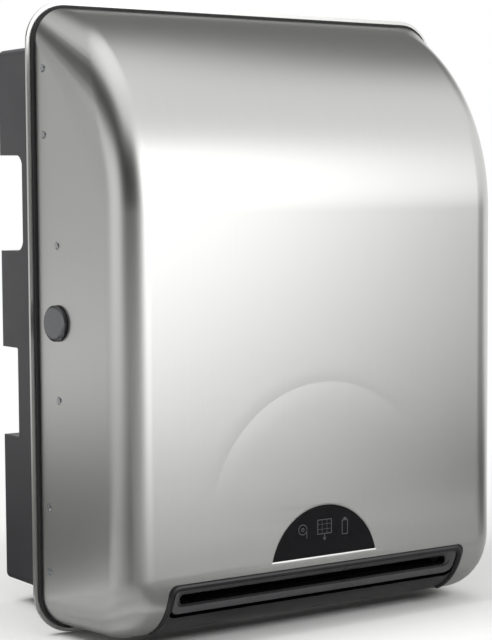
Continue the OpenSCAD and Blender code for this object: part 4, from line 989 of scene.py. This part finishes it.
class DISPENSER_OT_boards(bpy.types.Operator):
    """Sets the small components on the two circuit boards"""

    bl_idname = "dispenser.boards"
    bl_label = "Board components"

    def execute(self, context):
        face = BOARD_HIGH.y - BOARD_T
        left, floor = BOARD_LOW.x, BOARD_LOW.z
        chip_edge, plug_edge = 0.15, 0.4
        chips, plugs = bmesh.new(), bmesh.new()
        for count, start, pitch, up, size in (
            (7, 14, 4.2, 8, (1.6, 0.9, 3.2)),
            (5, 34, 3.6, 15, (2.2, 1.1, 2)),
        ):
            for i in range(count):
                low = (left + (start + pitch * i) * MM, face - size[1] * MM, floor + up * MM)
                block(chips, low, size, chip_edge)
        for x in (12, 60):
            low = (left + x * MM, face - 6.5 * MM, BOARD_HIGH.z - 11 * MM)
            block(plugs, low, (13, 6.5, 5), plug_edge)
        for i in range(6):
            x = (-29 + 11 * i + (2.2 if i % 2 else 0)) * MM
            block(chips, (x, PANEL_LOW.y - 0.9 * MM, PANEL_LOW.z + 3 * MM), (3.2, 0.9, 1.6), chip_edge)
        shade_round(piece_from(chips, "board_chips", "base", "black_plastic"))
        shade_round(piece_from(plugs, "board_plugs", "base", "gear_plastic"))
        return {"FINISHED"}


class DISPENSER_OT_nodes(bpy.types.Operator):
    """Gives each solid that stays its finish"""

    bl_idname = "dispenser.nodes"
    bl_label = "Finishes of the solids"

    def execute(self, context):
        for part in frame["record"]["subparts"]:
            node = frame["nodes"][part["node"]]
            if not node.hide_render:
                dress(node, FINISHES[part["material_slot"]])
        return {"FINISHED"}


def studio_card(name, point, normal, width, height, tone):
    """A soft-edged card outside the picture, which only glossy surfaces mirror."""
    size = Matrix.Diagonal((width / 2, height / 2, 1, 1))
    bm = bmesh.new()
    bmesh.ops.create_grid(bm, x_segments=1, y_segments=1, size=1, matrix=size)
    card = object_from(bm, name)
    card.matrix_world = facing(point, normal)

    def shade(tree):
        place = add(tree, "ShaderNodeTexCoord").outputs["Object"]
        off = add(tree, "ShaderNodeVectorMath", {0: place}, operation="ABSOLUTE").outputs[0]
        sides = add(tree, "ShaderNodeSeparateXYZ", {0: off}).outputs
        fades = []
        for side, half in zip(sides, (width / 2, height / 2)):
            ends = {"From Min": CARD_CORE * half, "From Max": half, "To Min": 1.0, "To Max": 0.0}
            fade = add(tree, "ShaderNodeMapRange", {"Value": side, **ends}, interpolation_type="SMOOTHSTEP")
            fades.append(fade.outputs[0])
        mask = add(tree, "ShaderNodeMath", {0: fades[0], 1: fades[1]}, operation="MULTIPLY")
        clear = add(tree, "ShaderNodeBsdfTransparent")
        glow = add(tree, "ShaderNodeEmission", {"Color": rgba(WHITE), "Strength": tone})
        return add(tree, "ShaderNodeMixShader", {0: mask.outputs[0], 1: clear.outputs[0], 2: glow.outputs[0]})

    card.data.materials.append(finish(name, shade))
    card.visible_camera = False
    card.visible_diffuse = False
    card.visible_shadow = False
    card.visible_transmission = False


def seen_directly(tree):
    """1 for what the camera sees, also in a mirror or through glass."""
    path = add(tree, "ShaderNodeLightPath").outputs
    seen = path["Is Camera Ray"]
    for ray in ("Is Glossy Ray", "Is Transmission Ray"):
        seen = add(tree, "ShaderNodeMath", {0: seen, 1: path[ray]}, operation="MAXIMUM").outputs[0]
    return seen


def studio_floor(tone):
    """Pale floor with the shadow of the dispenser, which runs into the white background further out."""

    def shade(tree):
        place = add(tree, "ShaderNodeTexCoord").outputs["Object"]
        away = add(tree, "ShaderNodeVectorMath", {0: place}, operation="LENGTH").outputs["Value"]
        ends = {"From Min": 0.2, "From Max": 0.8, "To Min": 0.0, "To Max": 1.0}
        far = add(tree, "ShaderNodeMapRange", {"Value": away, **ends}, interpolation_type="SMOOTHSTEP")
        share = add(tree, "ShaderNodeMath", {0: far.outputs[0], 1: seen_directly(tree)}, operation="MULTIPLY")
        near = add(tree, "ShaderNodeBsdfDiffuse", {"Color": rgba(tone)}).outputs[0]
        white = add(tree, "ShaderNodeEmission", {"Color": rgba(WHITE), "Strength": 1.0}).outputs[0]
        return add(tree, "ShaderNodeMixShader", {0: share.outputs[0], 1: near, 2: white})

    return finish("floor", shade)


def studio_world():
    """White background, which lights the dispenser only dimly."""
    world = bpy.data.worlds.new("studio")
    world.use_nodes = True
    tree = world.node_tree
    tree.nodes.clear()
    dim = add(tree, "ShaderNodeBackground", {"Color": rgba(WHITE), "Strength": 0.27}).outputs[0]
    white = add(tree, "ShaderNodeBackground", {"Color": rgba(WHITE), "Strength": 1.0}).outputs[0]
    both = add(tree, "ShaderNodeMixShader", {0: seen_directly(tree), 1: dim, 2: white})
    add(tree, "ShaderNodeOutputWorld", {"Surface": both.outputs[0]})
    return world


def studio_lamp(name, place, side, watts):
    """A square lamp that looks at the dispenser, and isn't mirrored in it."""
    lamp = bpy.data.lights.new(name, "AREA")
    lamp.shape = "SQUARE"
    lamp.size = side
    lamp.energy = watts
    holder = bpy.data.objects.new(name, lamp)
    holder.location = place
    holder.rotation_euler = (-Vector(place)).to_track_quat("-Z", "Y").to_euler()
    holder.visible_glossy = False
    bpy.context.scene.collection.objects.link(holder)


def photo_camera():
    """The camera fitted to the photo, with its focal length in pixels of a picture 640 high."""
    focal, picture_h = 1847.5, 640
    camera = bpy.data.cameras.new("camera")
    camera.sensor_width = 36
    camera.lens = focal / picture_h * camera.sensor_width
    camera.shift_x = -0.0083
    camera.shift_y = 0.0272
    camera.clip_start = 0.05
    holder = bpy.data.objects.new("camera", camera)
    bpy.context.scene.collection.objects.link(holder)
    holder.location = (-0.731, -1.074, 0.083)
    look = Vector((0.5646, 0.8217, -0.0779)).to_track_quat("-Z", "Y")
    holder.rotation_euler = (look.to_matrix() @ Matrix.Rotation(-0.006, 3, "Z")).to_euler()
    return holder


class DISPENSER_OT_stage(bpy.types.Operator):
    """Sets the floor, the light, the background and the camera"""

    bl_idname = "dispenser.stage"
    bl_label = "Stage"

    def execute(self, context):
        scene = context.scene
        scene.view_settings.view_transform = "Standard"
        bm = bmesh.new()
        bmesh.ops.create_circle(bm, cap_ends=True, segments=96, radius=12)
        floor = object_from(bm, "floor")
        floor.location.z = CAD_BOX[0].z - 0.5 * MM
        floor.data.materials.append(studio_floor(scene.dispenser_colours.floor))
        scene.world = studio_world()
        for lamp in LAMPS:
            studio_lamp(*lamp)
        for name, turn, rise, away, width, height, tone in CARDS:
            across, up = math.radians(turn), math.radians(rise)
            aim = Vector((math.sin(across) * math.cos(up), -math.cos(across) * math.cos(up), math.sin(up)))
            studio_card(name, aim * away, -aim, width, height, tone)
        low = CAD_BOX[0].z + 1 * MM
        for name, x, y, width, depth, tone in FLOOR_CARDS:
            studio_card(name, (x, y, low), UP, width, depth, tone)
        scene.camera = photo_camera()
        return {"FINISHED"}


class DISPENSER_PT_panel(bpy.types.Panel):
    """Sizes, colours and steps of the dispenser's looks"""

    bl_label = "Towel dispenser"
    bl_idname = "DISPENSER_PT_panel"
    bl_space_type = "VIEW_3D"
    bl_region_type = "UI"
    bl_category = "Dispenser"

    def draw(self, context):
        for step in STEPS:
            self.layout.operator(step.bl_idname)
        for group in (context.scene.dispenser_sizes, context.scene.dispenser_colours):
            column = self.layout.column(align=True)
            for name in group.__annotations__:
                column.prop(group, name)


STEPS = (
    DISPENSER_OT_cover,
    DISPENSER_OT_gasket,
    DISPENSER_OT_trim,
    DISPENSER_OT_lock,
    DISPENSER_OT_window,
    DISPENSER_OT_screws,
    DISPENSER_OT_spring,
    DISPENSER_OT_boards,
    DISPENSER_OT_nodes,
    DISPENSER_OT_stage,
)
CLASSES = (DispenserSizes, DispenserColours, *STEPS, DISPENSER_PT_panel)


def register():
    for c in CLASSES:
        bpy.utils.register_class(c)
    bpy.types.Scene.dispenser_sizes = PointerProperty(type=DispenserSizes)
    bpy.types.Scene.dispenser_colours = PointerProperty(type=DispenserColours)


def unregister():
    del bpy.types.Scene.dispenser_colours
    del bpy.types.Scene.dispenser_sizes
    for c in reversed(CLASSES):
        bpy.utils.unregister_class(c)


def main():
    register()
    FINISHES.update(make_finishes(bpy.context.scene.dispenser_colours))
    bpy.ops.dispenser.cover()
    bpy.ops.dispenser.gasket()
    bpy.ops.dispenser.trim()
    bpy.ops.dispenser.lock()
    bpy.ops.dispenser.window()
    bpy.ops.dispenser.screws()
    bpy.ops.dispenser.spring()
    bpy.ops.dispenser.boards()
    bpy.ops.dispenser.nodes()
    bpy.ops.dispenser.stage()


if __name__ == "__main__":
    main()
